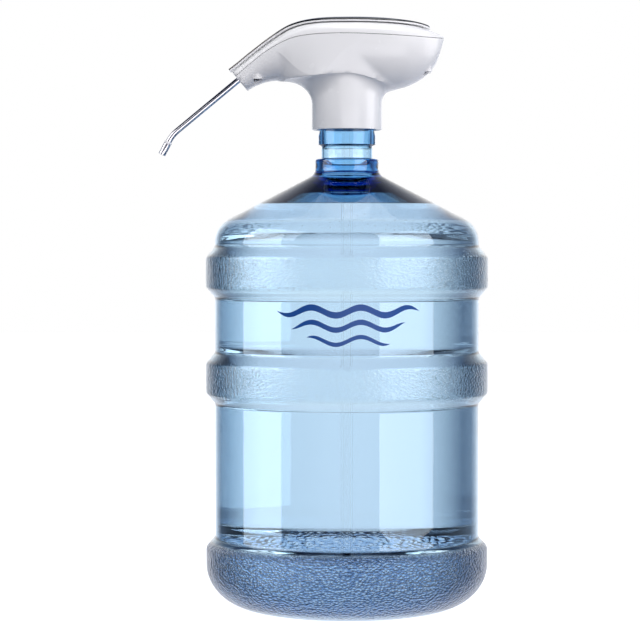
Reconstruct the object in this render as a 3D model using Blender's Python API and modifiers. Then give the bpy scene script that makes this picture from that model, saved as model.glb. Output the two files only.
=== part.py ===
"""Countertop water dispenser: a rechargeable pump head that sits on the neck of a refillable bottle.

Metres, +Z up. The origin is on the bottle's axis, at the surface it stands on, and the spout points to -X.
"""

import math

import bmesh
import bpy
from mathutils import Matrix, Vector

# ---------------------------------------------------------------- bottle
BODY_RADIUS = 0.1276            # plain wall between the rings
RING_RADIUS = 0.1364            # the three gripping rings
BOTTLE_WALL = 0.0018
FOOT_RADIUS = 0.084             # outer edge of the ring that touches the table
FOOT_INNER_RADIUS = 0.066
BASE_RECESS = 0.0025            # the middle of the underside stands this far off the table
BASE_CORNER_HEIGHT = 0.044      # the rounded corner from the foot up to the base ring
BASE_RING_TOP = 0.060
RING_SLOPE = 0.0105             # height over which a ring swells out of the wall
LOWER_BODY_TOP = 0.199          # where the middle ring starts
MIDDLE_RING_HEIGHT = 0.050
UPPER_BODY_TOP = 0.301          # where the upper ring starts
UPPER_RING_HEIGHT = 0.050
SHOULDER_EDGE_HEIGHT = 0.0195   # plain wall above the upper ring, up to where the cone would meet it
SHOULDER_ANGLE = math.radians(27.3)
NECK_RADIUS = 0.0245
NECK_BORE = 0.0225
NECK_BASE_RADIUS = 0.0305
NECK_BASE_HEIGHT = 0.0143
NECK_STEM_HEIGHT = 0.0125
CROWN_RADIUS = 0.0266           # the thicker upper part of the neck
CROWN_BEAD_SWELL = 0.0009       # how far the bead stands out from the crown
CROWN_BEAD_RADIUS = CROWN_RADIUS + CROWN_BEAD_SWELL
CROWN_BEAD_HEIGHT = 0.0100
CROWN_HEIGHT = 0.0325

# ---------------------------------------------------------------- pump head, measured from the neck's top
HEAD_LENGTH_SCALE = 1.0         # stretches the hull along X
HULL_WALL = 0.0022
SEAL_ROOM = 0.0071              # from the crown to the collar's outside, for the seal and the collar's wall
COLLAR_RADIUS = CROWN_RADIUS + SEAL_ROOM
COLLAR_WALL = 0.0022
COLLAR_DROP = 0.0267            # how far the collar reaches down over the neck
COLLAR_LIP_GAP = 0.0024         # from the crown to the collar's inner lip
COLLAR_LIP_RADIUS = CROWN_RADIUS + COLLAR_LIP_GAP
COLLAR_LIP_HEIGHT = 0.0020
CEILING_THICKNESS = 0.0024      # the deck inside the collar that rests on the neck
PARTING_GAP = 0.0005
PANEL_GAP = 0.0017
PANEL_THICKNESS = 0.0028
PANEL_EDGE = 0.0006
PANEL_SEAT_CLEARANCE = 0.0009   # over a curved seat, so more than between flat faces
PANEL_SHARE = 0.86              # how much of the hull's plan the top panel covers
PANEL_PROUD = 0.0010            # the panel reaches this far in front of the shells

SPOUT_ANGLE = math.radians(39.6)       # below the horizontal
SPOUT_TIP_ANGLE = math.radians(62.3)
SPOUT_EXIT_X = -0.1046
SPOUT_EXIT_RISE = 0.0215
SPOUT_LENGTH = 0.0763           # from the snout's face to the bend
SPOUT_INSERTION = 0.0150
SPOUT_BEND_RADIUS = 0.036
SPOUT_TUBE_RADIUS = 0.0030
SPOUT_TUBE_BORE = 0.0022
NOZZLE_RADIUS = 0.0037
NOZZLE_LENGTH = 0.0122
NOZZLE_RING_RADIUS = 0.0040
NOZZLE_RING_LENGTH = 0.0016
NOZZLE_OVERLAP = 0.0090         # how much of the sleeve covers the tube

BUTTON_X = 0.030
BUTTON_RADIUS = 0.0100
BUTTON_TRAVEL = 0.0015
BUTTON_CAP_THICKNESS = 0.0030
BUTTON_STEM_RADIUS = 0.0025
SPRING_RADIUS = 0.0050          # at the top; the cone lets the turns nest when it is pressed flat
SPRING_FOOT_RADIUS = 0.0080
SPRING_WIRE_RADIUS = 0.0002
SPRING_TURNS = 3
LIGHT_X = 0.006
LIGHT_RADIUS = 0.0018

BATTERY_RADIUS = 0.0092
BATTERY_LENGTH = 0.0650
BATTERY_AXIS = (0.0150, 0.0165, 0.0385)     # centre
MOTOR_RADIUS = 0.0122
MOTOR_LENGTH = 0.0310
MOTOR_AXIS = (0.0020, -0.0135, 0.0310)      # centre of the motor's front face
SHAFT_RADIUS = 0.0010
GEAR_TEETH = 12
GEAR_MODULE = 0.0010
GEAR_SPACING = 0.0126           # between the two gears' axes
GEAR_WIDTH = 0.0070
GEAR_CASE_WALL = 0.0028
PORT_RADIUS = 0.0021
PORT_BORE = 0.0012
PORT_LENGTH = 0.0075
HOSE_RADIUS = 0.0036
HOSE_BORE = 0.0026
BOARD_THICKNESS = 0.0016
BOARD_DEPTH_BELOW_SEAT = 0.0105
SUCTION_RADIUS = 0.0042
SUCTION_BORE = 0.0027
SUCTION_CLEARANCE = 0.0090      # from the bottle's floor to the strainer's lower edge
STRAINER_RADIUS = 0.0080
STRAINER_HEIGHT = 0.0140
SCREW_HEAD_RADIUS = 0.0029
SCREW_SHANK_RADIUS = 0.0014
SCREW_WELL_RADIUS = 0.0040
SCREW_WELL_WALL = 0.0012
FRONT_SCREW = (-0.0860, 0.0125)
REAR_SCREW = (0.0765, 0.0105)
FLAP_WIDTH = 0.0130
FLAP_HEIGHT = 0.0085
FLAP_THICKNESS = 0.0016
FLAP_RISE = 0.0500              # the flap's centre above the neck's top
FLAP_TILT = math.radians(15.0)
SOCKET_WIDTH = 0.0090
SOCKET_HEIGHT = 0.0034
SOCKET_DEPTH = 0.0075

CLEARANCE = 0.0003              # between pieces that touch
RUNNING_CLEARANCE = 0.0004      # around pieces that turn or slide
LARGE_FILLET = 0.015            # a fillet this big gets more facets
BOTTLE_SEGMENTS = 36
ROUND_SEGMENTS = 20

# ---------------------------------------------------------------- worked out from the sizes above
SHOULDER_CORNER_Z = UPPER_BODY_TOP + UPPER_RING_HEIGHT + SHOULDER_EDGE_HEIGHT
NECK_BASE_Z = SHOULDER_CORNER_Z + (BODY_RADIUS - NECK_BASE_RADIUS) * math.tan(SHOULDER_ANGLE)
NECK_STEM_Z = NECK_BASE_Z + NECK_BASE_HEIGHT
CROWN_Z = NECK_STEM_Z + NECK_STEM_HEIGHT
NECK_TOP = CROWN_Z + CROWN_BEAD_HEIGHT + CROWN_HEIGHT
BOTTLE_FLOOR = BASE_RECESS + BOTTLE_WALL
CEILING_Z = NECK_TOP + CLEARANCE
DECK_Z = CEILING_Z + CEILING_THICKNESS
SPOUT_DIRECTION = Vector((-math.cos(SPOUT_ANGLE), 0.0, -math.sin(SPOUT_ANGLE)))
TIP_DIRECTION = Vector((-math.cos(SPOUT_TIP_ANGLE), 0.0, -math.sin(SPOUT_TIP_ANGLE)))
SPOUT_EXIT = Vector((SPOUT_EXIT_X * HEAD_LENGTH_SCALE, 0.0, NECK_TOP + SPOUT_EXIT_RISE))

# The hull's outline curves, as (x, value): x along the head, heights above the neck's top, half widths.
TOP_CURVE = [(-0.1350, 0.0124), (-0.1101, 0.0288), (-0.0920, 0.0430), (-0.0717, 0.0582), (-0.0530, 0.0698),
             (-0.0314, 0.0752), (-0.0008, 0.0766), (0.0332, 0.0758), (0.0609, 0.0727), (0.0769, 0.0687),
             (0.0870, 0.0650), (0.0950, 0.0622)]
PARTING_CURVE = [(-0.1350, 0.0004), (-0.1075, 0.0236), (-0.0930, 0.0357), (-0.0765, 0.0480), (-0.0544, 0.0590),
                 (-0.0320, 0.0626), (-0.0004, 0.0633), (0.0330, 0.0622), (0.0610, 0.0610), (0.0780, 0.0604),
                 (0.0870, 0.0604), (0.0950, 0.0606)]
KEEL_CURVE = [(-0.1350, -0.0165), (-0.1100, 0.0015), (-0.0960, 0.0110), (-0.0860, 0.0166), (-0.0733, 0.0203),
              (-0.0580, 0.0206), (-0.0320, 0.0175), (0.0000, 0.0125), (0.0330, 0.0103), (0.0474, 0.0124),
              (0.0617, 0.0167), (0.0759, 0.0252), (0.0858, 0.0366), (0.0900, 0.0479), (0.0936, 0.0605)]
WIDTH_CURVE = [(-0.1350, 0.0098), (-0.1075, 0.0148), (-0.0890, 0.0196), (-0.0700, 0.0256), (-0.0510, 0.0311),
               (-0.0300, 0.0366), (-0.0050, 0.0402), (0.0180, 0.0414), (0.0400, 0.0400), (0.0580, 0.0358),
               (0.0720, 0.0292), (0.0820, 0.0222), (0.0885, 0.0155), (0.0922, 0.0085), (0.0936, 0.0)]
LOWER_ROUNDNESS = 2.3           # superellipse exponents of the hull's section
UPPER_ROUNDNESS = 3.2
HULL_FRONT_X = -0.1340
HULL_REAR_X = 0.0936
OUTLINE_STEPS = 17              # points along each side of the hull
HULL_RINGS = 7
SEAM_SHARES = (0.2, 0.4, 0.6, 0.8, 1.0)     # rings across the seam's surface


# ================================================================ scene helpers
def clear_scene():
    """Remove every object, so that the script can run again in one session."""
    for item in list(bpy.data.objects):
        bpy.data.objects.remove(item, do_unlink=True)


def collection(name):
    """Make a collection and link it to the scene."""
    made = bpy.data.collections.new(name)
    bpy.context.scene.collection.children.link(made)
    return made


clear_scene()
PARTS = collection("water_dispenser")
CUTTERS = collection("cutters")


def material(name, colour, roughness, metallic=0.0, alpha=1.0):
    """A Principled material in the piece's own colour."""
    made = bpy.data.materials.new(name)
    made.use_nodes = True
    shader = made.node_tree.nodes["Principled BSDF"]
    shader.inputs["Base Color"].default_value = (*colour, 1.0)
    shader.inputs["Roughness"].default_value = roughness
    shader.inputs["Metallic"].default_value = metallic
    shader.inputs["Alpha"].default_value = alpha
    return made


def add_object(name, data, finish=None, group=None):
    """Link an object with this data to a collection, and give it its material."""
    made = bpy.data.objects.new(name, data)
    (group or PARTS).objects.link(made)
    if finish is not None:
        data.materials.clear()
        data.materials.append(finish)
    return made


def mesh_object(name, build, finish=None, group=None, smooth=True):
    """An object whose mesh is filled by build(bmesh)."""
    mesh = bpy.data.meshes.new(name)
    work = bmesh.new()
    build(work)
    work.to_mesh(mesh)
    work.free()
    if smooth:
        mesh.shade_smooth()
        mesh.set_sharp_from_angle(angle=math.radians(35))
    return add_object(name, mesh, finish, group)


def as_cutter(item):
    """Hide an object that only cuts or joins another."""
    item.hide_render = True
    item.display_type = "WIRE"
    return item


def boolean(target, other, operation, solver="EXACT"):
    """Add a Boolean modifier."""
    modifier = target.modifiers.new(operation.title(), "BOOLEAN")
    modifier.operation = operation
    modifier.solver = solver
    modifier.object = as_cutter(other)
    return target


def baked_mesh(item):
    """The evaluated mesh of an object, as a mesh of its own."""
    bpy.context.view_layer.update()
    graph = bpy.context.evaluated_depsgraph_get()
    return bpy.data.meshes.new_from_object(item.evaluated_get(graph))


# ================================================================ solids
def box(name, size, centre, finish=None, group=None, bevel=0.0, rotation=(0.0, 0.0, 0.0)):
    """A block, with its edges rounded when bevel is given."""
    def build(work):
        bmesh.ops.create_cube(work, size=1.0)
        bmesh.ops.scale(work, vec=size, verts=work.verts)
    made = mesh_object(name, build, finish, group, smooth=False)
    made.location = centre
    made.rotation_euler = rotation
    if bevel:
        modifier = made.modifiers.new("Bevel", "BEVEL")
        modifier.width = bevel
        modifier.segments = 2
    return made


def cylinder(name, radius, start, end, finish=None, group=None, segments=ROUND_SEGMENTS, end_radius=None):
    """A round bar or cone from start to end."""
    start = Vector(start)
    along = Vector(end) - start

    def build(work):
        bmesh.ops.create_cone(work, cap_ends=True, segments=segments, radius1=radius,
                              radius2=radius if end_radius is None else end_radius, depth=along.length)
    made = mesh_object(name, build, finish, group)
    made.location = start + along / 2
    made.rotation_euler = along.to_track_quat("Z", "Y").to_euler()
    return made


def arc(centre, radii, start, end, steps):
    """Points along a quarter or part of an ellipse, angles in degrees."""
    points = []
    for step in range(steps + 1):
        angle = math.radians(start + (end - start) * step / steps)
        points.append((centre[0] + radii[0] * math.cos(angle), centre[1] + radii[1] * math.sin(angle)))
    return points


def rounded(corners, steps=3):
    """A line of (r, z, fillet) corners with each fillet turned into an arc."""
    points = []
    for index, (r, z, fillet) in enumerate(corners):
        if not fillet:
            points.append((r, z))
            continue
        here = Vector((r, z))
        before = (Vector(corners[index - 1][:2]) - here)
        after = (Vector(corners[index + 1][:2]) - here)
        half = before.angle(after) / 2
        reach = fillet / math.tan(half)
        begin = here + before.normalized() * reach
        finish = here + after.normalized() * reach
        middle = here + (before.normalized() + after.normalized()).normalized() * fillet / math.sin(half)
        arm = begin - middle
        turn = arm.angle_signed(finish - middle)
        count = steps if fillet < LARGE_FILLET else steps + 3
        for step in range(count + 1):
            swung = Matrix.Rotation(-turn * step / count, 2) @ arm
            points.append(tuple(middle + swung))
    return points


def turned(name, profile, finish=None, group=None, steps=ROUND_SEGMENTS):
    """A solid of revolution about Z; the profile runs down its outer side, or from axis to axis."""
    closed = profile[0][0] > 1e-9
    mesh = bpy.data.meshes.new(name)
    edges = [(index, index + 1) for index in range(len(profile) - 1)]
    if closed:
        edges.append((len(profile) - 1, 0))
    mesh.from_pydata([(r, 0.0, z) for r, z in profile], edges, [])
    made = add_object(name, mesh, finish, group)
    screw = made.modifiers.new("Screw", "SCREW")
    screw.steps = steps
    screw.render_steps = steps
    screw.use_merge_vertices = True
    screw.merge_threshold = 0.000001
    screw.use_smooth_shade = True
    return made


def extruded(name, outline, depth, finish=None, group=None):
    """A flat outline in local XY, given thickness along local Z."""
    curve = bpy.data.curves.new(name, "CURVE")
    curve.dimensions = "2D"
    curve.fill_mode = "BOTH"
    curve.extrude = depth / 2
    spline = curve.splines.new("POLY")
    spline.points.add(len(outline) - 1)
    for point, (x, y) in zip(spline.points, outline):
        point.co = (x, y, 0.0, 1.0)
    spline.use_cyclic_u = True
    temporary = bpy.data.objects.new(name + "_outline", curve)
    CUTTERS.objects.link(temporary)
    mesh = baked_mesh(temporary)
    bpy.data.objects.remove(temporary, do_unlink=True)
    return mesh_from_curve(name, mesh, finish, group)


def mesh_from_curve(name, mesh, finish=None, group=None):
    """Weld a curve's loose caps and wrap the mesh in an object."""
    work = bmesh.new()
    work.from_mesh(mesh)
    bmesh.ops.remove_doubles(work, verts=work.verts, dist=0.000001)
    bmesh.ops.recalc_face_normals(work, faces=work.faces)
    work.to_mesh(mesh)
    work.free()
    mesh.name = name
    return add_object(name, mesh, finish, group)


def split_into_triangles(mesh):
    """Split a mesh's faces into triangles, so that a twisted face has one definite shape."""
    work = bmesh.new()
    work.from_mesh(mesh)
    bmesh.ops.triangulate(work, faces=work.faces)
    work.to_mesh(mesh)
    work.free()


def smooth_route(points, per_span=3):
    """Points along a smooth curve through the given ones."""
    line = [Vector(point) for point in points]
    line = [line[0] * 2 - line[1]] + line + [line[-1] * 2 - line[-2]]
    route = []
    for index in range(1, len(line) - 2):
        before, start, end, after = line[index - 1:index + 3]
        for step in range(per_span):
            t = step / per_span
            squared = 2 * before - 5 * start + 4 * end - after
            cubed = 3 * start - before - 3 * end + after
            route.append(0.5 * (2 * start + (end - before) * t + squared * t * t + cubed * t ** 3))
    route.append(line[-2])
    return route


def rod(name, route, radius, finish=None, group=None, resolution=2, offset=None):
    """A round bar along a route, as a curve with a bevel."""
    curve = bpy.data.curves.new(name, "CURVE")
    curve.dimensions = "3D"
    curve.bevel_depth = radius
    curve.bevel_resolution = resolution
    curve.use_fill_caps = True
    spline = curve.splines.new("POLY")
    spline.points.add(len(route) - 1)
    for point, place in zip(spline.points, route):
        point.co = (*place, 1.0)
    made = add_object(name, curve, finish, group)
    if offset is not None:
        made.location = offset
    return made


def tube(name, route, radius, bore, finish=None, resolution=2):
    """A hollow pipe along a route: the outer bar less a slightly longer inner one."""
    outer_curve = rod(name + "_outer", route, radius, None, CUTTERS, resolution)
    outer = mesh_from_curve(name, baked_mesh(outer_curve), finish)
    start = Vector(route[0]) * 2 - Vector(route[1])
    end = Vector(route[-1]) * 2 - Vector(route[-2])
    inner_curve = rod(name + "_bore_line", [start, *route, end], bore, None, CUTTERS, resolution)
    inner = mesh_from_curve(name + "_bore", baked_mesh(inner_curve), None, CUTTERS)
    for used in (outer_curve, inner_curve):
        bpy.data.objects.remove(used, do_unlink=True)
    outer.data.shade_smooth()
    outer.data.set_sharp_from_angle(angle=math.radians(50))
    return boolean(outer, inner, "DIFFERENCE", "MANIFOLD")


# ================================================================ hull surfaces
def along_curve(curve, x):
    """The value at x of a smooth curve through the points, which HEAD_LENGTH_SCALE stretches."""
    x /= HEAD_LENGTH_SCALE
    last = len(curve) - 1
    x = min(max(x, curve[0][0]), curve[last][0])
    span = max(index for index in range(last) if curve[index][0] <= x)
    slopes = []
    for index in (span, span + 1):
        low, high = max(index - 1, 0), min(index + 1, last)
        slopes.append((curve[high][1] - curve[low][1]) / (curve[high][0] - curve[low][0]))
    (x0, y0), (x1, y1) = curve[span], curve[span + 1]
    width = x1 - x0
    t = (x - x0) / width
    return ((2 * t ** 3 - 3 * t ** 2 + 1) * y0 + (t ** 3 - 2 * t ** 2 + t) * width * slopes[0]
            + (3 * t ** 2 - 2 * t ** 3) * y1 + (t ** 3 - t ** 2) * width * slopes[1])


def half_width(x):
    """The hull's half width at its parting line, with a round end at the rear."""
    rear = HULL_REAR_X * HEAD_LENGTH_SCALE
    if x >= rear:
        return 0.0
    return max(along_curve(WIDTH_CURVE, x), 0.0)


def parting_z(x):
    """Height of the seam between the two shells."""
    return NECK_TOP + along_curve(PARTING_CURVE, x)


def section_share(y, width, exponent):
    """How far a superellipse section stands from its chord at y, from 0 at the rim to 1 in the middle."""
    if width <= 0.0:
        return 0.0
    return max(1.0 - min(abs(y) / width, 1.0) ** exponent, 0.0) ** (1.0 / exponent)


def upper_z(x, y, inset=0.0):
    """Height of the upper shell's outer surface, or of a surface inside it by inset."""
    width = max(half_width(x) - inset, 0.0)
    low = parting_z(x)
    top = NECK_TOP + along_curve(TOP_CURVE, x) - inset
    return low + (top - low) * section_share(y, width, UPPER_ROUNDNESS)


def flare_z(radius, angle, collar):
    """Height of the fillet that carries the collar's wall out into the hull's underside."""
    front = max(-math.cos(angle), 0.0) ** 2
    rear = max(math.cos(angle), 0.0) ** 2
    side = 1.0 - front - rear
    start = NECK_TOP - 0.0020 * front - 0.0010 * rear + 0.0120 * side
    reach = 0.0290 * front + 0.0140 * rear + 0.0030 * side
    rise = 0.0230 * front + 0.0140 * rear + 0.0140 * side
    steepness = 1.5 * front + 2.0 * rear + 6.0 * side
    out = radius - collar
    if out < reach:
        return start + rise * math.sqrt(max(1.0 - (1.0 - out / reach) ** 2, 0.0))
    return start + rise + steepness * (out - reach)


def lower_z(x, y, collar, inset=0.0):
    """Height of the lower shell's outer surface: the lower of the hull's belly and the collar's flare."""
    width = max(half_width(x) - inset, 0.0)
    top = parting_z(x)
    keel = NECK_TOP + along_curve(KEEL_CURVE, x) + inset
    hull = top - (top - keel) * section_share(y, width, LOWER_ROUNDNESS)
    flare = flare_z(math.hypot(x, y), math.atan2(y, x), collar)
    blend = 0.0030
    mix = min(max(0.5 + 0.5 * (flare - hull) / blend, 0.0), 1.0)
    return flare + (hull - flare) * mix - blend * mix * (1.0 - mix)


def hull_outline(inset=0.0):
    """The hull's plan outline, anticlockwise from the rear tip, as (x, y) points."""
    front, rear = HULL_FRONT_X * HEAD_LENGTH_SCALE, HULL_REAR_X * HEAD_LENGTH_SCALE - inset
    side = []
    for step in range(1, OUTLINE_STEPS):
        share = step / OUTLINE_STEPS
        x = rear + (front - rear) * (share ** 1.5 * 0.72 + 0.28 * share)
        side.append((x, max(half_width(x + inset * share) - inset, 0.0004)))
    front_width = half_width(front) - inset
    nose = [(front, front_width), (front, 0.0), (front, -front_width)]
    return [(rear, 0.0), *side, *nose, *[(x, -y) for x, y in reversed(side)]]


def plan_radius(vertex):
    """Distance of a vertex from the neck's axis."""
    return math.hypot(vertex.co.x, vertex.co.y)


def ring_solid(name, rings, start, end, finish=None, group=None):
    """A closed solid lofted through rings of equal count, fanned to a point at each end.

    Each four-sided gap is split along the same diagonal, seen from the axis, so that surfaces which share
    their rings stay parallel.
    """
    count = len(rings[0])

    def build(work):
        rows = [[work.verts.new(point) for point in ring] for ring in rings]
        first, last = work.verts.new(start), work.verts.new(end)
        for index in range(count):
            following = (index + 1) % count
            work.faces.new((first, rows[0][following], rows[0][index]))
            for lower, upper in zip(rows, rows[1:]):
                outer, inner = (lower, upper)
                if plan_radius(lower[index]) < plan_radius(upper[index]):
                    outer, inner = (upper, lower)
                work.faces.new((outer[index], outer[following], inner[following]))
                work.faces.new((outer[index], inner[following], inner[index]))
            work.faces.new((rows[-1][index], rows[-1][following], last))
        bmesh.ops.recalc_face_normals(work, faces=work.faces)
    return mesh_object(name, build, finish, group)


def cosine_steps(count):
    """Shares from 0 to 1, closer together at both ends."""
    return [(1.0 - math.cos(math.pi * step / count)) / 2.0 for step in range(count + 1)]


TOP_SHARES = cosine_steps(HULL_RINGS)[1:]


def scaled_ring(outline, share, height):
    """The outline drawn in towards the neck's axis, each point at the height that the surface has there."""
    return [(x * share, y * share, height(x * share, y * share)) for x, y in outline]


def lower_solid(name, collar, inset, below, above, finish=None, group=None):
    """The lower hull and collar as one solid, up to the seam."""
    outline = hull_outline(inset)
    bottom = NECK_TOP - COLLAR_DROP - below
    angles = [math.atan2(y, x) for x, y in outline]
    circle = [(collar * math.cos(angle), collar * math.sin(angle)) for angle in angles]
    rings = [[(x, y, bottom) for x, y in circle]]
    for share in cosine_steps(HULL_RINGS):
        ring = []
        for (cx, cy), (ox, oy) in zip(circle, outline):
            x, y = cx + (ox - cx) * share, cy + (oy - cy) * share
            ring.append((x, y, parting_z(x) if share == 1.0 else lower_z(x, y, collar, inset)))
        rings.append(ring)
    for share in reversed(SEAM_SHARES):
        if share == 1.0 and not above:
            continue
        rings.append(scaled_ring(outline, share, lambda x, y: parting_z(x) + above))
    return ring_solid(name, rings, (0.0, 0.0, bottom), (0.0, 0.0, parting_z(0.0) + above), finish, group)


def upper_solid(name, inset, below, finish=None, group=None):
    """The upper hull as one solid, from the seam to the seat of the top panel."""
    outline = hull_outline(inset)
    floor = PARTING_GAP - below
    rings = [scaled_ring(outline, share, lambda x, y: parting_z(x) + floor) for share in SEAM_SHARES]
    for share in reversed(TOP_SHARES):
        shift = PARTING_GAP if share < 1.0 else PARTING_GAP + 0.0004
        rings.append(scaled_ring(outline, share, lambda x, y: upper_z(x, y, inset) + shift))
    top = (0.0, 0.0, upper_z(0.0, 0.0, inset) + PARTING_GAP)
    return ring_solid(name, rings, (0.0, 0.0, parting_z(0.0) + floor), top, finish, group)


def front_cutter(name, depth):
    """A block in front of a plane square to the spout, the given depth behind the snout's face."""
    reach = 0.12
    centre = SPOUT_EXIT - SPOUT_DIRECTION * depth + SPOUT_DIRECTION * reach / 2
    return box(name, (reach, reach, reach), centre, group=CUTTERS, rotation=(0.0, -SPOUT_ANGLE, 0.0))


def on_head(x, y, rise):
    """A point given relative to the neck's top."""
    return Vector((x, y, NECK_TOP + rise))


# ================================================================ finishes
CLEAR_BLUE = material("clear_blue", (0.55, 0.78, 0.92), 0.08, alpha=0.4)
CLEAR = material("clear_plastic", (0.85, 0.92, 0.95), 0.15, alpha=0.5)
WHITE = material("white_plastic", (0.90, 0.90, 0.91), 0.30)
BLACK = material("gloss_black", (0.015, 0.015, 0.017), 0.08)
GREY = material("grey_plastic", (0.32, 0.33, 0.35), 0.45)
CHROME = material("chrome", (0.80, 0.80, 0.82), 0.06, 1.0)
STEEL = material("steel", (0.56, 0.56, 0.57), 0.30, 1.0)
RUBBER = material("rubber", (0.70, 0.71, 0.72), 0.60)
GREEN = material("circuit_board", (0.05, 0.20, 0.09), 0.50)
CELL = material("battery_wrap", (0.10, 0.25, 0.45), 0.40)
BRASS = material("brass", (0.72, 0.55, 0.25), 0.30, 1.0)
RED = material("red_lead", (0.60, 0.05, 0.04), 0.45)
LENS = material("light_lens", (0.75, 0.90, 1.00), 0.15, alpha=0.6)


# ================================================================ bottle
def bottle_outline(inset, soft):
    """The bottle's wall from its foot to its neck, moved inwards by inset, with soft or plain corners."""
    ring = RING_RADIUS - inset
    wall = BODY_RADIUS - inset
    foot_corner = arc((FOOT_RADIUS - inset * 0.5, BASE_CORNER_HEIGHT),
                      (ring - FOOT_RADIUS + inset * 0.5, BASE_CORNER_HEIGHT - inset), -90, 0, 6)
    middle_top = LOWER_BODY_TOP + MIDDLE_RING_HEIGHT
    upper_top = UPPER_BODY_TOP + UPPER_RING_HEIGHT
    below_cone = SHOULDER_CORNER_Z - inset * math.tan(SHOULDER_ANGLE / 2)
    cone_end = NECK_BASE_Z - inset * math.tan(SHOULDER_ANGLE)
    swell = 0.0050 if soft else 0.0
    sides = rounded([
        (ring, BASE_CORNER_HEIGHT, 0), (ring, BASE_RING_TOP, swell),
        (wall, BASE_RING_TOP + RING_SLOPE, swell),
        (wall, LOWER_BODY_TOP, swell), (ring, LOWER_BODY_TOP + RING_SLOPE, swell),
        (ring, middle_top - RING_SLOPE, swell), (wall, middle_top, swell),
        (wall, UPPER_BODY_TOP, swell), (ring, UPPER_BODY_TOP + RING_SLOPE, swell),
        (ring, upper_top - RING_SLOPE, swell), (wall, upper_top, swell),
        (wall, below_cone, 0.0250), (NECK_BASE_RADIUS - inset, cone_end, 0.0090),
        (NECK_BASE_RADIUS - inset, NECK_STEM_Z - inset, 0)], steps=1)
    return foot_corner, sides[1:]


def bottle_profile():
    """The whole wall: up the inside from the axis, over the rim and down the outside to the axis."""
    foot, sides = bottle_outline(0.0, soft=True)
    neck = rounded([
        (NECK_BASE_RADIUS, NECK_STEM_Z - 0.004, 0), (NECK_BASE_RADIUS, NECK_STEM_Z, 0.0010),
        (NECK_RADIUS, NECK_STEM_Z + 0.0005, 0), (NECK_RADIUS, CROWN_Z - 0.001, 0),
        (CROWN_BEAD_RADIUS, CROWN_Z + 0.0006, 0), (CROWN_BEAD_RADIUS, CROWN_Z + CROWN_BEAD_HEIGHT, 0),
        (CROWN_RADIUS, CROWN_Z + CROWN_BEAD_HEIGHT + 0.0012, 0), (CROWN_RADIUS, NECK_TOP - 0.0015, 0),
        (CROWN_RADIUS - 0.0015, NECK_TOP, 0)], steps=1)[1:]
    underside = [(0.0, BASE_RECESS), (FOOT_INNER_RADIUS - 0.006, BASE_RECESS), (FOOT_INNER_RADIUS, 0.0)]
    outside = underside + foot + sides[:-1] + neck
    inner_foot, inner_sides = bottle_outline(BOTTLE_WALL, soft=False)
    inside = [(0.0, BOTTLE_FLOOR), (FOOT_INNER_RADIUS - 0.006, BOTTLE_FLOOR)] + inner_foot + inner_sides[:-1]
    inside += [(NECK_BASE_RADIUS - BOTTLE_WALL, NECK_STEM_Z - BOTTLE_WALL - 0.0005),
               (NECK_BORE, NECK_STEM_Z - 0.0005), (NECK_BORE, NECK_TOP)]
    return inside + list(reversed(outside))


def make_bottle():
    """The blow-moulded bottle, open at its neck."""
    made = turned("bottle", bottle_profile(), CLEAR_BLUE, steps=BOTTLE_SEGMENTS)
    made.data.shade_smooth()
    return made


# ================================================================ head shells
def screw_places():
    """Where the four housing screws stand, with their names."""
    return [("front_left", FRONT_SCREW[0], -FRONT_SCREW[1]), ("front_right", FRONT_SCREW[0], FRONT_SCREW[1]),
            ("rear_left", REAR_SCREW[0], -REAR_SCREW[1]), ("rear_right", REAR_SCREW[0], REAR_SCREW[1])]


def shelf_z(x, y):
    """Height of the shelf that a screw's head pulls up against."""
    return lower_z(x * HEAD_LENGTH_SCALE, y, COLLAR_RADIUS) + 0.0075


SHELF_THICKNESS = 0.0022
SPOUT_SOCKET_RADIUS = SPOUT_TUBE_RADIUS + 0.0026
SPOUT_SOCKET_LENGTH = SPOUT_INSERTION + 0.0090
FLAP_CENTRE_Z = NECK_TOP + FLAP_RISE


def rear_surface_x(z):
    """Where the hull's rear end lies at a height."""
    low, high = 0.040, HULL_REAR_X
    for _ in range(40):
        middle = (low + high) / 2
        if NECK_TOP + along_curve(KEEL_CURVE, middle * HEAD_LENGTH_SCALE) < z:
            low = middle
        else:
            high = middle
    return low * HEAD_LENGTH_SCALE


FLAP_CENTRE = Vector((rear_surface_x(FLAP_CENTRE_Z), 0.0, FLAP_CENTRE_Z))
FLAP_OUT = Vector((math.cos(FLAP_TILT), 0.0, -math.sin(FLAP_TILT)))


def flap_block(name, size, depth, group=CUTTERS, finish=None, bevel=0.0):
    """A block lying in the flap's plane, its middle the given depth inside the hull's rear skin."""
    centre = FLAP_CENTRE - FLAP_OUT * depth
    return box(name, size, centre, finish, group, bevel, (0.0, FLAP_TILT, 0.0))


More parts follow.
